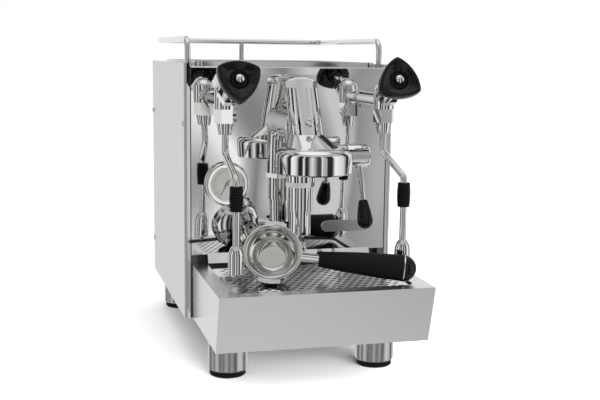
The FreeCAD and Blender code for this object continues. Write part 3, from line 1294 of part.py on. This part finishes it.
def tap_nodes(name, side, wand_turn, knob_turn):
    """All pieces of one tap, each passed through side, which is mirrored for the left tap."""
    pieces = {
        "valve_body": valve_body(),
        "valve_stem": valve_stem(),
        "knob": knob(knob_turn),
        "knob_screw": knob_screw(),
        "joint_nut": joint_nut(),
        "ball": wand_ball(),
        "wand_pipe": swung(wand_pipe(), wand_turn),
        "wand_grip": swung(wand_grip(), wand_turn),
        "wand_tip": swung(wand_tip(), wand_turn),
    }
    return {name + "_" + key: side(shape) for key, shape in pieces.items()}


def all_nodes():
    right_side = side_panel()
    nodes = {
        "base_plate": base_plate(),
        "frame_posts": frame_posts(),
        "left_side_panel": mirrored(right_side),
        "right_side_panel": right_panel_with_switch_hole(),
        "front_panel": front_panel(),
        "lower_bulkhead": lower_bulkhead(),
        "rear_panel": rear_panel(),
        "top_cover": top_cover(),
        "cup_tray": cup_tray(),
        "cup_rail": cup_rail(),
        "casing_screws": casing_screws(),
        "foot_sleeves": foot_sleeves(),
        "foot_pads": foot_pads(),
        "name_plate": name_plate(),
        "drip_tray": drip_tray(),
        "drip_grate": drip_grate(),
        "group_body": group_body(),
        "group_top_nut": group_top_nut(),
        "group_jet_plug": jet_plug(),
        "group_lower_chamber": lower_chamber(),
        "group_drain_spout": drain_spout(),
        "group_gasket": group_gasket(),
        "shower_screen": shower_screen(),
        "lever_shaft": lever_shaft(),
        "lever_arm": lever_arm(),
        "lever_knob": lever_knob(),
        "gauge_case": gauge_case(),
        "gauge_dial": gauge_dial(),
        "gauge_needle": gauge_needle(),
        "gauge_glass": gauge_glass(),
        "portafilter_body": portafilter_body(),
        "portafilter_handle": portafilter_handle(),
        "portafilter_spout": portafilter_spout(),
        "filter_basket": filter_basket(),
        "boiler": boiler(),
        "group_feed_pipe": feed_pipe(),
        "water_tank": water_tank(),
        "pump": pump(),
        "control_box": control_box(),
        "switch_frame": switch_frame(),
        "power_rocker": power_rocker(),
        "power_inlet": power_inlet(),
    }
    nodes.update(tap_nodes("steam", mirrored, STEAM_WAND_TURN, STEAM_KNOB_TURN))
    nodes.update(tap_nodes("water", lambda shape: shape, WATER_WAND_TURN, WATER_KNOB_TURN))
    return nodes


os.makedirs("parts", exist_ok=True)
for node, solid in all_nodes().items():
    if not solid.isValid():
        print("not valid:", node)
    solid.exportStep(os.path.join("parts", node + ".step"))
    print(node, len(solid.Solids), round(solid.Volume / 1000, 2), "cm3")
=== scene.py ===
import math
import bpy
from mathutils import Matrix, Vector

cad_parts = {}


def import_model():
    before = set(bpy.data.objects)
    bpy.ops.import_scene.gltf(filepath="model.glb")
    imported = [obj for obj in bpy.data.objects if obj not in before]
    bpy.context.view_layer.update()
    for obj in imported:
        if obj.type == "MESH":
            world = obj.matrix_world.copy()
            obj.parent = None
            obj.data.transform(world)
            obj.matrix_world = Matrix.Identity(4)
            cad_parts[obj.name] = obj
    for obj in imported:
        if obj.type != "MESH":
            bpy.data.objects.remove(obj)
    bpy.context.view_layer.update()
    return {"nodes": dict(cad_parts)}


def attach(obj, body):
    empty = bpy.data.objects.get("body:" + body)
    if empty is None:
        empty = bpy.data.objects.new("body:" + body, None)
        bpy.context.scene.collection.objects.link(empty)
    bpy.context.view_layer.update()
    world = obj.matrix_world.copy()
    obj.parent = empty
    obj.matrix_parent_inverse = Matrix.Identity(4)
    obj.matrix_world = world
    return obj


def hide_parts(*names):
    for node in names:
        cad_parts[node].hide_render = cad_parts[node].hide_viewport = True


# Looks of an espresso machine: steel casing, chromed brew group, two taps, gauge and drip tray.
# Metres, +Z up, front towards -Y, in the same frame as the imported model.

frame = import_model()
nodes = frame["nodes"]

# Camera, solved from the casing's edges in the photograph
CAMERA_PLACE = Vector((-0.31302, -1.27498, 0.37735))
CAMERA_YAW = 0.2633
CAMERA_PITCH = 0.1442
CAMERA_ROLL = 0.0120
CAMERA_LENS = 60.79
SENSOR_WIDTH = 36.0
CAMERA_FAR_LIMIT = 50

# Gauge dial
GAUGE_MIDDLE = Vector((-0.0804, -0.0680, 0.2182))
DIAL_FACE_Y = -0.06905
SCALE_RADIUS = 0.0160
SCALE_START = 240.0
SCALE_SWEEP = 300.0
SCALE_STEPS = 30
STEPS_PER_LONG_TICK = 5
LONG_TICK = 0.0034
SHORT_TICK = 0.0018
LONG_TICK_HALF_ANGLE = 0.9
SHORT_TICK_HALF_ANGLE = 0.5
SCALE_ARC_STEPS = 60
SCALE_ARC_WIDTH = 0.0004

# Portafilter handle: its foot, the way it points, and the bright ring below its domed end
HANDLE_FOOT = Vector((0.0037, -0.1849, 0.1446))
HANDLE_WAY = Vector((0.9549, -0.2829, -0.0905))
HANDLE_BAND_AT = 0.0968
HANDLE_BAND_WIDTH = 0.0012
HANDLE_BAND_INNER = 0.0150
HANDLE_BAND_OUTER = 0.0154
HANDLE_BAND_STEPS = 64

# Tap knobs: middle and axis of the hot-water knob; the steam knob mirrors it across the machine
KNOB_MIDDLE = Vector((0.09125, -0.19998, 0.34982))
KNOB_AXIS = Vector((-0.0611, -0.9205, 0.3859))
KNOB_SIDE_RADIUS = 0.046
KNOB_SIDE_REACH = 0.0208
KNOB_LOBE_REACH = 0.0278
KNOB_CORNER_SOFTNESS = 0.0009
# Knob's skin, each ring with its place along the axis: radii in the socket, shares of the outline
# round the outside, and radii again down the funnel and up the boss under the screw
KNOB_SOCKET = [(0.0045, -0.0045), (0.0045, -0.0125)]
KNOB_OUTSIDE = [(0.62, -0.0125), (0.85, -0.0125), (0.94, -0.0120), (0.985, -0.0106), (1.0, -0.0086),
                (1.0, -0.0032), (0.985, -0.0010), (0.955, 0.00025), (0.915, 0.0009), (0.875, 0.0010),
                (0.83, 0.00075), (0.73, -0.0004), (0.64, -0.0015)]
KNOB_FUNNEL = [(0.0114, -0.0023), (0.0104, -0.0036), (0.0092, -0.0056), (0.0078, -0.0064),
               (0.0066, -0.0063), (0.0059, -0.0055), (0.0056, -0.0017), (0.0052, -0.00105),
               (0.0047, -0.0010)]

# Filter basket: middle of the portafilter's rim, the way it opens, and the basket's skin as radii
# with their places along the axis, from under its floor over the rolled lip to inside its floor
RIM_MIDDLE = Vector((-0.0487, -0.1775, 0.1539))
RIM_AXIS = Vector((-0.2022, -0.8421, 0.5))
BASKET_SKIN = [(0.0154, -0.0200), (0.0176, -0.0194), (0.0195, -0.0176), (0.0211, -0.0146),
               (0.0225, -0.0122), (0.0238, -0.0108), (0.0260, -0.0097), (0.0279, -0.0078),
               (0.0288, -0.0050), (0.0289, -0.0010), (0.0290, 0.0), (0.0326, 0.00005),
               (0.0326, 0.0005), (0.0322, 0.0009), (0.0314, 0.0011), (0.0304, 0.0009),
               (0.0294, 0.0003), (0.0287, -0.0006), (0.0282, -0.0022), (0.0280, -0.0050),
               (0.0272, -0.0074), (0.0254, -0.0090), (0.0232, -0.0100), (0.0218, -0.0116),
               (0.0204, -0.0142), (0.0188, -0.0170), (0.0170, -0.0186), (0.0152, -0.0192),
               (0.0120, -0.0194)]
TURN_STEPS = 120

# How far the cup rail's bar stands out beyond its solid, and how near its points lie to be joined first
RAIL_EXTRA = 0.001
JOIN_DISTANCE = 1e-5

# Middle of the drip tray's hollow
TRAY_MIDDLE = Vector((0.0, -0.155, 0.085))

# Parts of a face's normal: with less than the first along Z it stands upright, and with more than the
# second along -Y it faces the front
UPRIGHT_LIMIT = 0.5
FORWARD_LIMIT = 0.9

UP = Vector((0, 0, 1))

# Colours
WHITE = (1, 1, 1, 1)
STEEL = (0.74, 0.74, 0.73)
PALE_STEEL = (0.80, 0.80, 0.79)
DULL_STEEL = (0.66, 0.66, 0.65)
WARM_STEEL = (0.76, 0.76, 0.74)
# Dark steel painted as shade inside the drip tray and on the edges of the grate's slots
PAINTED_SHADE_STEEL = (0.10, 0.10, 0.10)
BRIGHT = (0.88, 0.88, 0.87)
BRASS = (0.72, 0.50, 0.24)
BLACK = (0.002, 0.002, 0.002)
NEEDLE_BLACK = (0.004, 0.004, 0.004)
INK = (0.005, 0.005, 0.005)
DARK_GREY = (0.03, 0.03, 0.03)
MID_GREY = (0.25, 0.25, 0.26)
PALE_PLASTIC = (0.75, 0.78, 0.78)
CREAM = (0.18, 0.172, 0.152)
FLOOR_TONE = (0.92, 0.92, 0.92)

# Grain: how noise is stretched along the axes
EVEN = (1, 1, 1)
ALONG_X = (0.03, 1, 1)
ALONG_Y = (1, 0.03, 1)
ALONG_Z = (1, 1, 0.04)
LEVEL_LINES = (0.03, 0.03, 1)

# Depth of a grain, size of the slow waves in polished sheet, and the range that noise values mostly fill
GRAIN_DEPTH = 0.0002
WAVE_SCALE = 9.0
NOISE_LOW = 0.3
NOISE_HIGH = 0.7

# Gauge glass: size of its faint smears, range of its roughness, and the share of light that it mirrors
GLASS_SCALE = 40.0
GLASS_ROUGH = (0.0, 0.02)
GLASS_MIRRORED = 0.07

# Studio
AMBIENT_STRENGTH = 1.15
FLOOR_HALF = 6.0
HALF_TURN = 180

# Softboxes: name, place, the point they face, width, height and power
SOFTBOXES = [("left_softbox", (-1.6, -1.0, 1.5), (0, 0, 0.2), 1.2, 1.6, 8),
             ("right_softbox", (1.6, -1.2, 1.3), (0, 0, 0.2), 1.2, 1.6, 30),
             ("top_softbox", (0, 0.1, 2.2), (0, 0, 0), 1.8, 1.8, 16),
             ("front_softbox", (0.5, -1.9, 0.5), (0, -0.1, 0.02), 1.8, 0.6, 80)]

# Tones that polished metal sees around it: degrees from straight ahead of the machine, right positive.
# The first and the last tone reach on to straight behind.
AROUND = [(-146, 0.85), (-134, 0.03), (-122, 0.03), (-112, 0.90), (-96, 0.02), (-88, 0.02), (-84, 1.0),
          (-70, 0.80), (-60, 0.02), (-49, 0.02), (-46, 0.80), (-43, 0.80), (-40, 0.02), (-32, 0.03),
          (-20, 0.80), (-3, 0.05), (7, 0.08), (9.5, 0.85), (11.5, 1.0), (13.2, 0.24), (14.6, 0.22),
          (15.8, 0.80), (17.2, 0.60), (18.4, 0.26), (22, 0.55), (27, 0.02), (42, 0.03), (52, 1.0),
          (84, 0.70), (98, 0.02), (106, 0.02), (118, 0.85)]
# Weight of the tones above, and tone, by the height of the direction's unit vector
LEVEL_WEIGHT = [(-0.75, 0.0), (-0.40, 1.0), (0.45, 1.0), (0.70, 0.0)]
LEVEL_TONE = [(-0.75, 0.70), (-0.40, 0.55), (0.40, 0.06), (0.60, 0.08), (0.66, 0.65), (0.72, 0.48),
              (0.78, 0.55), (0.84, 0.28), (0.90, 0.95), (1.0, 1.0)]


# Material helpers

def new_material(name):
    """A material with its node tree and its main shader."""
    material = bpy.data.materials.new(name)
    material.use_nodes = True
    tree = material.node_tree
    return material, tree, tree.nodes["Principled BSDF"]


def noise(tree, scale, stretch=EVEN, detail=3.0):
    """A noise value over the object's own coordinates, stretched along its axes."""
    coords = tree.nodes.new("ShaderNodeTexCoord")
    mapping = tree.nodes.new("ShaderNodeMapping")
    texture = tree.nodes.new("ShaderNodeTexNoise")
    mapping.inputs["Scale"].default_value = [scale * part for part in stretch]
    texture.inputs["Scale"].default_value = 1.0
    texture.inputs["Detail"].default_value = detail
    tree.links.new(coords.outputs["Object"], mapping.inputs["Vector"])
    tree.links.new(mapping.outputs["Vector"], texture.inputs["Vector"])
    return texture.outputs["Fac"]


def spread(tree, value, low, high):
    """Map a noise value onto a range."""
    node = tree.nodes.new("ShaderNodeMapRange")
    node.inputs["From Min"].default_value = NOISE_LOW
    node.inputs["From Max"].default_value = NOISE_HIGH
    node.inputs["To Min"].default_value = low
    node.inputs["To Max"].default_value = high
    tree.links.new(value, node.inputs["Value"])
    return node.outputs["Result"]


def tint(tree, value, dark, light):
    """Map a noise value onto a colour between two."""
    blend = tree.nodes.new("ShaderNodeValToRGB")
    blend.color_ramp.elements[0].position = NOISE_LOW
    blend.color_ramp.elements[0].color = (*dark, 1)
    blend.color_ramp.elements[1].position = NOISE_HIGH
    blend.color_ramp.elements[1].color = (*light, 1)
    tree.links.new(value, blend.inputs["Fac"])
    return blend.outputs["Color"]


def bump(tree, shader, value, strength, distance):
    """Let a value tilt a shader's surface, as a relief of some strength and depth would."""
    node = tree.nodes.new("ShaderNodeBump")
    node.inputs["Strength"].default_value = strength
    node.inputs["Distance"].default_value = distance
    tree.links.new(value, node.inputs["Height"])
    tree.links.new(node.outputs["Normal"], shader.inputs["Normal"])


def grained(name, colour, rough, scale, stretch, shade):
    """A material whose roughness and tone follow one noise value."""
    material, tree, shader = new_material(name)
    grain = noise(tree, scale, stretch)
    tree.links.new(spread(tree, grain, *rough), shader.inputs["Roughness"])
    dark = [part * (1 - shade) for part in colour]
    tree.links.new(tint(tree, grain, dark, colour), shader.inputs["Base Color"])
    return material, tree, shader, grain


def metal(name, colour, rough, stretch=EVEN, scale=60.0, relief=0.0, shade=0.05, wave=0.0):
    """A metal with a grain; wave is the depth of slow waves in a polished sheet."""
    material, tree, shader, grain = grained(name, colour, rough, scale, stretch, shade)
    shader.inputs["Metallic"].default_value = 1.0
    if wave:
        bump(tree, shader, noise(tree, WAVE_SCALE, detail=0.0), strength=1.0, distance=wave)
    elif relief:
        bump(tree, shader, grain, relief, GRAIN_DEPTH)
    return material


def plain(name, colour, rough, scale=200.0, relief=0.1, shade=0.2, specular=0.5):
    """A moulding, rubber or lacquer with a fine grain."""
    material, tree, shader, grain = grained(name, colour, rough, scale, EVEN, shade)
    shader.inputs["Specular IOR Level"].default_value = specular
    bump(tree, shader, grain, relief, GRAIN_DEPTH)
    return material


def glass(name):
    """A thin clear pane: nearly all of it lets light by, and the rest mirrors."""
    material, tree, shader = new_material(name)
    smears = noise(tree, GLASS_SCALE)
    tree.links.new(spread(tree, smears, *GLASS_ROUGH), shader.inputs["Roughness"])
    shader.inputs["Base Color"].default_value = WHITE
    shader.inputs["Metallic"].default_value = 1.0
    shader.inputs["Alpha"].default_value = GLASS_MIRRORED
    return material


def paint(material, *names):
    """Give whole nodes one material."""
    for name in names:
        data = nodes[name].data
        data.materials.clear()
        data.materials.append(material)


def paint_where(material, name, test):
    """Give the faces of a node that pass the test a second material."""
    node = nodes[name]
    node.data.materials.append(material)
    last = len(node.data.materials) - 1
    place = node.matrix_world
    turn = place.to_3x3()
    for face in node.data.polygons:
        if test(place @ face.center, turn @ face.normal):
            face.material_index = last


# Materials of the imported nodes

side_steel = metal("side_steel", STEEL, rough=(0.28, 0.32), stretch=ALONG_Y, scale=250.0, shade=0.02)
tray_steel = metal("tray_steel", PALE_STEEL, rough=(0.22, 0.28), stretch=LEVEL_LINES, scale=900.0,
                   shade=0.015)
# Painted shade: dark steel for the tray's hollow and the grate's slot edges, so that they read dark
tray_painted_shade = metal("tray_painted_shade", PAINTED_SHADE_STEEL, rough=(0.40, 0.50), stretch=ALONG_X, scale=300.0)
cover_steel = metal("cover_steel", STEEL, rough=(0.14, 0.20), stretch=ALONG_X, scale=500.0)
grate_steel = metal("grate_steel", STEEL, rough=(0.08, 0.14), stretch=ALONG_X, scale=300.0)
plate_steel = metal("plate_steel", DULL_STEEL, rough=(0.30, 0.36), stretch=ALONG_X, scale=600.0,
                    relief=0.03)
foot_steel = metal("foot_steel", DULL_STEEL, rough=(0.24, 0.32), stretch=ALONG_Z, scale=600.0,
                   relief=0.05)
panel_steel = metal("panel_steel", BRIGHT, rough=(0.02, 0.04), scale=15.0, shade=0.02, wave=0.0028)
mirror_steel = metal("mirror_steel", BRIGHT, rough=(0.02, 0.04), scale=15.0, shade=0.02)
chrome = metal("chrome", BRIGHT, rough=(0.03, 0.06), scale=30.0, shade=0.03)
wand_steel = metal("wand_steel", BRIGHT, rough=(0.06, 0.10), stretch=ALONG_Z, scale=120.0)
basket_steel = metal("basket_steel", WARM_STEEL, rough=(0.10, 0.16), scale=80.0, relief=0.5)
brass = metal("brass", BRASS, rough=(0.25, 0.35))
dark_sheet = plain("dark_sheet", DARK_GREY, rough=(0.35, 0.5))
black_gloss = plain("black_gloss", BLACK, rough=(0.06, 0.12), scale=40.0, relief=0.02, specular=0.25)
black_matte = plain("black_matte", BLACK, rough=(0.42, 0.55), scale=500.0, specular=0.15)
rubber = plain("rubber", BLACK, rough=(0.45, 0.6), scale=400.0, specular=0.15)
dial_paper = plain("dial_paper", CREAM, rough=(0.45, 0.6), scale=120.0, relief=0.03, shade=0.06)
print_black = plain("print_black", INK, rough=(0.4, 0.5))
needle_black = plain("needle_black", NEEDLE_BLACK, rough=(0.35, 0.45))
tank_plastic = plain("tank_plastic", PALE_PLASTIC, rough=(0.25, 0.35), scale=60.0)
pump_grey = plain("pump_grey", MID_GREY, rough=(0.4, 0.5))
gauge_glass = glass("gauge_glass")

paint(side_steel, "left_side_panel", "right_side_panel", "rear_panel")
paint(tray_steel, "drip_tray")
paint(cover_steel, "top_cover", "cup_tray")
paint(grate_steel, "drip_grate")
paint(plate_steel, "name_plate")
paint(foot_steel, "foot_sleeves")
paint(panel_steel, "front_panel")
paint(mirror_steel, "cup_rail", "casing_screws")
paint(wand_steel, "steam_wand_pipe", "water_wand_pipe", "steam_wand_tip", "water_wand_tip")
paint(chrome, "group_body", "group_top_nut", "group_jet_plug", "group_lower_chamber", "group_drain_spout",
      "lever_shaft", "lever_arm", "gauge_case", "portafilter_body", "portafilter_spout")
for tap in ("steam", "water"):
    for piece in ("_valve_body", "_valve_stem", "_joint_nut", "_ball", "_knob_screw"):
        paint(chrome, tap + piece)
    paint(black_gloss, tap + "_knob")
    paint(rubber, tap + "_wand_grip")
paint(dark_sheet, "base_plate", "frame_posts", "lower_bulkhead")
paint(black_gloss, "lever_knob")
paint(black_matte, "portafilter_handle", "switch_frame", "power_rocker", "power_inlet", "control_box")
paint(rubber, "group_gasket", "foot_pads")
paint(basket_steel, "filter_basket", "shower_screen")
paint(dial_paper, "gauge_dial")
paint(needle_black, "gauge_needle")
paint(gauge_glass, "gauge_glass")
paint(brass, "boiler", "group_feed_pipe")
paint(tank_plastic, "water_tank")
paint(pump_grey, "pump")


def beyond_handle_band(centre, normal):
    """The handle's domed end, past its bright ring."""
    return (centre - HANDLE_FOOT).dot(HANDLE_WAY) > HANDLE_BAND_AT


def faces_into_tray(centre, normal):
    """The inner faces of the drip tray, which are given painted shade."""
    return normal.dot(TRAY_MIDDLE - centre) > 0


def is_upright(centre, normal):
    """Upright faces, such as the edges of the grate's slots, which are given painted shade."""
    return abs(normal.z) < UPRIGHT_LIMIT


def faces_forward(centre, normal):
    """Faces towards the front of the machine."""
    return normal.y < -FORWARD_LIMIT


def stand_out(name, depth):
    """Let a node's surface stand out a little beyond its solid."""
    nodes[name].modifiers.new("join", "WELD").merge_threshold = JOIN_DISTANCE
    swell = nodes[name].modifiers.new("stand_out", "DISPLACE")
    swell.mid_level = 0.0
    swell.strength = depth


paint_where(black_gloss, "portafilter_handle", beyond_handle_band)
# Painted shade: the inner faces of the drip tray and the upright slot edges of the grate get the dark
# steel
paint_where(tray_painted_shade, "drip_tray", faces_into_tray)
paint_where(tray_painted_shade, "drip_grate", is_upright)
for polished in ("left_side_panel", "right_side_panel", "top_cover"):
    paint_where(mirror_steel, polished, faces_forward)
stand_out("cup_rail", RAIL_EXTRA)


# Detail pieces

def mesh_object(name, points, faces, material, body):
    """A piece made of points and faces, riding on a body."""
    data = bpy.data.meshes.new(name)
    data.from_pydata(points, [], faces)
    data.materials.append(material)
    piece = bpy.data.objects.new(name, data)
    bpy.context.scene.collection.objects.link(piece)
    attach(piece, body)
    return piece


def dial_point(radius, degrees):
    """A point on the dial's face, by its radius and its angle from the right."""
    angle = math.radians(degrees)
    across = GAUGE_MIDDLE.x + radius * math.cos(angle)
    height = GAUGE_MIDDLE.z + radius * math.sin(angle)
    return (across, DIAL_FACE_Y, height)


def dial_scale():
    """Printed ticks and one arc around the dial."""
    points = []
    faces = []
    for step in range(SCALE_STEPS + 1):
        degrees = SCALE_START - SCALE_SWEEP * step / SCALE_STEPS
        is_long = step % STEPS_PER_LONG_TICK == 0
        length = LONG_TICK if is_long else SHORT_TICK
        half = LONG_TICK_HALF_ANGLE if is_long else SHORT_TICK_HALF_ANGLE
        first = len(points)
        for radius in (SCALE_RADIUS - length, SCALE_RADIUS):
            points += [dial_point(radius, degrees - half), dial_point(radius, degrees + half)]
        faces.append((first, first + 1, first + 3, first + 2))
    for step in range(SCALE_ARC_STEPS):
        first = len(points)
        for end in (step, step + 1):
            degrees = SCALE_START - SCALE_SWEEP * end / SCALE_ARC_STEPS
            for radius in (SCALE_RADIUS, SCALE_RADIUS + SCALE_ARC_WIDTH):
                points.append(dial_point(radius, degrees))
        faces.append((first, first + 1, first + 3, first + 2))
    mesh_object("dial_scale", points, faces, print_black, "machine")


def handle_band():
    """A thin bright ring around the handle, just below its domed end."""
    side = HANDLE_WAY.cross(UP).normalized()
    up = side.cross(HANDLE_WAY)
    section = [(0.0, HANDLE_BAND_INNER), (0.0, HANDLE_BAND_OUTER),
               (HANDLE_BAND_WIDTH, HANDLE_BAND_OUTER), (HANDLE_BAND_WIDTH, HANDLE_BAND_INNER)]
    corners = len(section)
    points = []
    faces = []
    for step in range(HANDLE_BAND_STEPS):
        angle = 2 * math.pi * step / HANDLE_BAND_STEPS
        outward = side * math.cos(angle) + up * math.sin(angle)
        for along, radius in section:
            points.append(HANDLE_FOOT + HANDLE_WAY * (HANDLE_BAND_AT + along) + outward * radius)
        here = step * corners
        there = (step + 1) % HANDLE_BAND_STEPS * corners
        for corner in range(corners):
            after = (corner + 1) % corners
            faces.append((here + corner, here + after, there + after, there + corner))
    mesh_object("handle_band", points, faces, chrome, "portafilter")


def turned(name, middle, axis, towards, rings, material, body):
    """A closed skin of rings about an axis, each with its reach by angle and its place along the axis."""
    side = (towards - axis * towards.dot(axis)).normalized()
    across = axis.cross(side)
    points = [middle + axis * rings[0][1]]
    for reach, along in rings:
        for step in range(TURN_STEPS):
            angle = 2 * math.pi * step / TURN_STEPS
            outward = side * math.cos(angle) + across * math.sin(angle)
            points.append(middle + axis * along + outward * reach(angle))
    points.append(middle + axis * rings[-1][1])
    first_pole = 0
    last_pole = len(points) - 1
    last_ring = last_pole - TURN_STEPS
    faces = []
    for step in range(TURN_STEPS):
        after = (step + 1) % TURN_STEPS
        faces.append((first_pole, 1 + after, 1 + step))
        for here in range(1, last_ring, TURN_STEPS):
            there = here + TURN_STEPS
            faces.append((here + step, here + after, there + after, there + step))
        faces.append((last_pole, last_ring + step, last_ring + after))
    piece = mesh_object(name, points, faces, material, body)
    for face in piece.data.polygons:
        face.use_smooth = True
    return piece


def round_ring(radius):
    """The reach of a ring with one radius all round."""
    def reach(angle):
        return radius
    return reach


def knob_outline(angle):
    """The knob's reach at an angle from one of its three lobes."""
    sixth = math.pi / 3
    off_side = angle % (2 * sixth) - sixth
    back = KNOB_SIDE_RADIUS - KNOB_SIDE_REACH
    chord = math.sqrt(KNOB_SIDE_RADIUS ** 2 - (back * math.sin(off_side)) ** 2)
    side = chord - back * math.cos(off_side)
    soft = KNOB_CORNER_SOFTNESS
    return -soft * math.log(math.exp(-side / soft) + math.exp(-KNOB_LOBE_REACH / soft))


def lobed_ring(share):
    """The reach of a ring that is a share of the knob's outline."""
    def reach(angle):
        return share * knob_outline(angle)
    return reach


def lobe_way(name, middle, axis):
    """The way from a knob's axis to the point of its solid that lies farthest out."""
    ways = []
    for vertex in nodes[name].data.vertices:
        offset = nodes[name].matrix_world @ vertex.co - middle
        ways.append(offset - axis * offset.dot(axis))
    return max(ways, key=lambda way: way.length)


def knob(tap, side):
    """A three-lobed knob with bulged sides and a deep funnel; side is -1 left, 1 right."""
    name = tap + "_knob"
    middle = Vector((side * KNOB_MIDDLE.x, KNOB_MIDDLE.y, KNOB_MIDDLE.z))
    axis = Vector((side * KNOB_AXIS.x, KNOB_AXIS.y, KNOB_AXIS.z)).normalized()
    rings = [(round_ring(radius), along) for radius, along in KNOB_SOCKET]
    rings += [(lobed_ring(share), along) for share, along in KNOB_OUTSIDE]
    rings += [(round_ring(radius), along) for radius, along in KNOB_FUNNEL]
    way = lobe_way(name, middle, axis)
    piece = turned(name + "_skin", middle, axis, way, rings, black_gloss, name)
    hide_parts(name)


def basket():
    """The filter basket with its rolled lip and curved walls."""
    rings = [(round_ring(radius), along) for radius, along in BASKET_SKIN]
    axis = RIM_AXIS.normalized()
    piece = turned("basket_skin", RIM_MIDDLE, axis, UP, rings, basket_steel, "portafilter")
    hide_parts("filter_basket")


dial_scale()
handle_band()
knob("steam", -1)
knob("water", 1)
basket()


# Studio

def camera():
    """The photograph's camera."""
    forward = Vector((math.sin(CAMERA_YAW) * math.cos(CAMERA_PITCH),
                      math.cos(CAMERA_YAW) * math.cos(CAMERA_PITCH),
                      -math.sin(CAMERA_PITCH)))
    level = Vector((math.cos(CAMERA_YAW), -math.sin(CAMERA_YAW), 0))
    upright = level.cross(forward)
    right = level * math.cos(CAMERA_ROLL) + upright * math.sin(CAMERA_ROLL)
    up = upright * math.cos(CAMERA_ROLL) - level * math.sin(CAMERA_ROLL)
    data = bpy.data.cameras.new("camera")
    data.lens = CAMERA_LENS
    data.sensor_width = SENSOR_WIDTH
    data.sensor_fit = "HORIZONTAL"
    data.clip_end = CAMERA_FAR_LIMIT
    eye = bpy.data.objects.new("camera", data)
    bpy.context.scene.collection.objects.link(eye)
    turn = Matrix((right, up, -forward)).transposed().to_4x4()
    eye.matrix_world = Matrix.Translation(CAMERA_PLACE) @ turn
    bpy.context.scene.camera = eye


def softbox(name, place, target, width, height, power):
    """A rectangular lamp that reflections do not show."""
    data = bpy.data.lights.new(name, "AREA")
    data.shape = "RECTANGLE"
    data.size = width
    data.size_y = height
    data.energy = power
    lamp = bpy.data.objects.new(name, data)
    bpy.context.scene.collection.objects.link(lamp)
    lamp.location = place
    lamp.rotation_euler = (Vector(target) - Vector(place)).to_track_quat("-Z", "Y").to_euler()
    lamp.visible_glossy = False


def floor():
    """White paper under the part, which reflections do not show."""
    corners = [(-FLOOR_HALF, -FLOOR_HALF, 0), (FLOOR_HALF, -FLOOR_HALF, 0),
               (FLOOR_HALF, FLOOR_HALF, 0), (-FLOOR_HALF, FLOOR_HALF, 0)]
    data = bpy.data.meshes.new("floor")
    data.from_pydata(corners, [], [(0, 1, 2, 3)])
    paper = plain("floor_paper", FLOOR_TONE, rough=(0.7, 0.9), scale=3.0, relief=0.0, shade=0.01)
    data.materials.append(paper)
    sheet = bpy.data.objects.new("floor", data)
    bpy.context.scene.collection.objects.link(sheet)
    sheet.visible_glossy = False


def ramp(tree, value, stops, low, high):
    """A grey ramp over a value between two limits."""
    share = tree.nodes.new("ShaderNodeMapRange")
    share.inputs["From Min"].default_value = low
    share.inputs["From Max"].default_value = high
    tree.links.new(value, share.inputs["Value"])
    node = tree.nodes.new("ShaderNodeValToRGB")
    elements = node.color_ramp.elements
    while len(elements) < len(stops):
        elements.new(0.5)
    for element, (place, tone) in zip(elements, stops):
        element.position = (place - low) / (high - low)
        element.color = (tone, tone, tone, 1)
    tree.links.new(share.outputs["Result"], node.inputs["Fac"])
    return node.outputs["Color"]


def calculation(tree, operation, *values):
    """The result of a calculation on node outputs and plain numbers."""
    node = tree.nodes.new("ShaderNodeMath")
    node.operation = operation
    for socket, value in zip(node.inputs, values):
        if isinstance(value, float):
            socket.default_value = value
        else:
            tree.links.new(value, socket)
    return node.outputs["Value"]


def studio_tones(tree):
    """The tone that a reflection shows, by the direction it looks in."""
    coords = tree.nodes.new("ShaderNodeTexCoord")
    direction = tree.nodes.new("ShaderNodeSeparateXYZ")
    tree.links.new(coords.outputs["Generated"], direction.inputs["Vector"])
    right = direction.outputs["X"]
    height = direction.outputs["Z"]
    ahead = calculation(tree, "MULTIPLY", direction.outputs["Y"], -1.0)
    degrees = calculation(tree, "DEGREES", calculation(tree, "ARCTAN2", right, ahead))
    tones = tree.nodes.new("ShaderNodeMix")
    tones.data_type = "RGBA"
    tree.links.new(ramp(tree, height, LEVEL_WEIGHT, -1, 1), tones.inputs["Factor"])
    tree.links.new(ramp(tree, height, LEVEL_TONE, -1, 1), tones.inputs["A"])
    tree.links.new(ramp(tree, degrees, AROUND, -HALF_TURN, HALF_TURN), tones.inputs["B"])
    return tones.outputs["Result"]


def either_shader(tree, choice, first, second):
    """The first shader, or the second where the choice is 1."""
    node = tree.nodes.new("ShaderNodeMixShader")
    tree.links.new(choice, node.inputs["Fac"])
    tree.links.new(first, node.inputs[1])
    tree.links.new(second, node.inputs[2])
    return node.outputs["Shader"]


def world():
    """White for the camera, soft white light, and a streaked studio for reflections only."""
    studio = bpy.data.worlds.new("studio")
    bpy.context.scene.world = studio
    studio.use_nodes = True
    tree = studio.node_tree
    ambient = tree.nodes["Background"]
    ambient.inputs["Color"].default_value = WHITE
    ambient.inputs["Strength"].default_value = AMBIENT_STRENGTH
    streaks = tree.nodes.new("ShaderNodeBackground")
    tree.links.new(studio_tones(tree), streaks.inputs["Color"])
    backdrop = tree.nodes.new("ShaderNodeBackground")
    backdrop.inputs["Color"].default_value = WHITE
    ray = tree.nodes.new("ShaderNodeLightPath")
    lit = either_shader(tree, ray.outputs["Is Glossy Ray"], ambient.outputs["Background"],
                        streaks.outputs["Background"])
    seen = either_shader(tree, ray.outputs["Is Camera Ray"], lit, backdrop.outputs["Background"])
    tree.links.new(seen, tree.nodes["World Output"].inputs["Surface"])


camera()
floor()
world()
for box in SOFTBOXES:
    softbox(*box)
bpy.context.scene.view_settings.view_transform = "Standard"
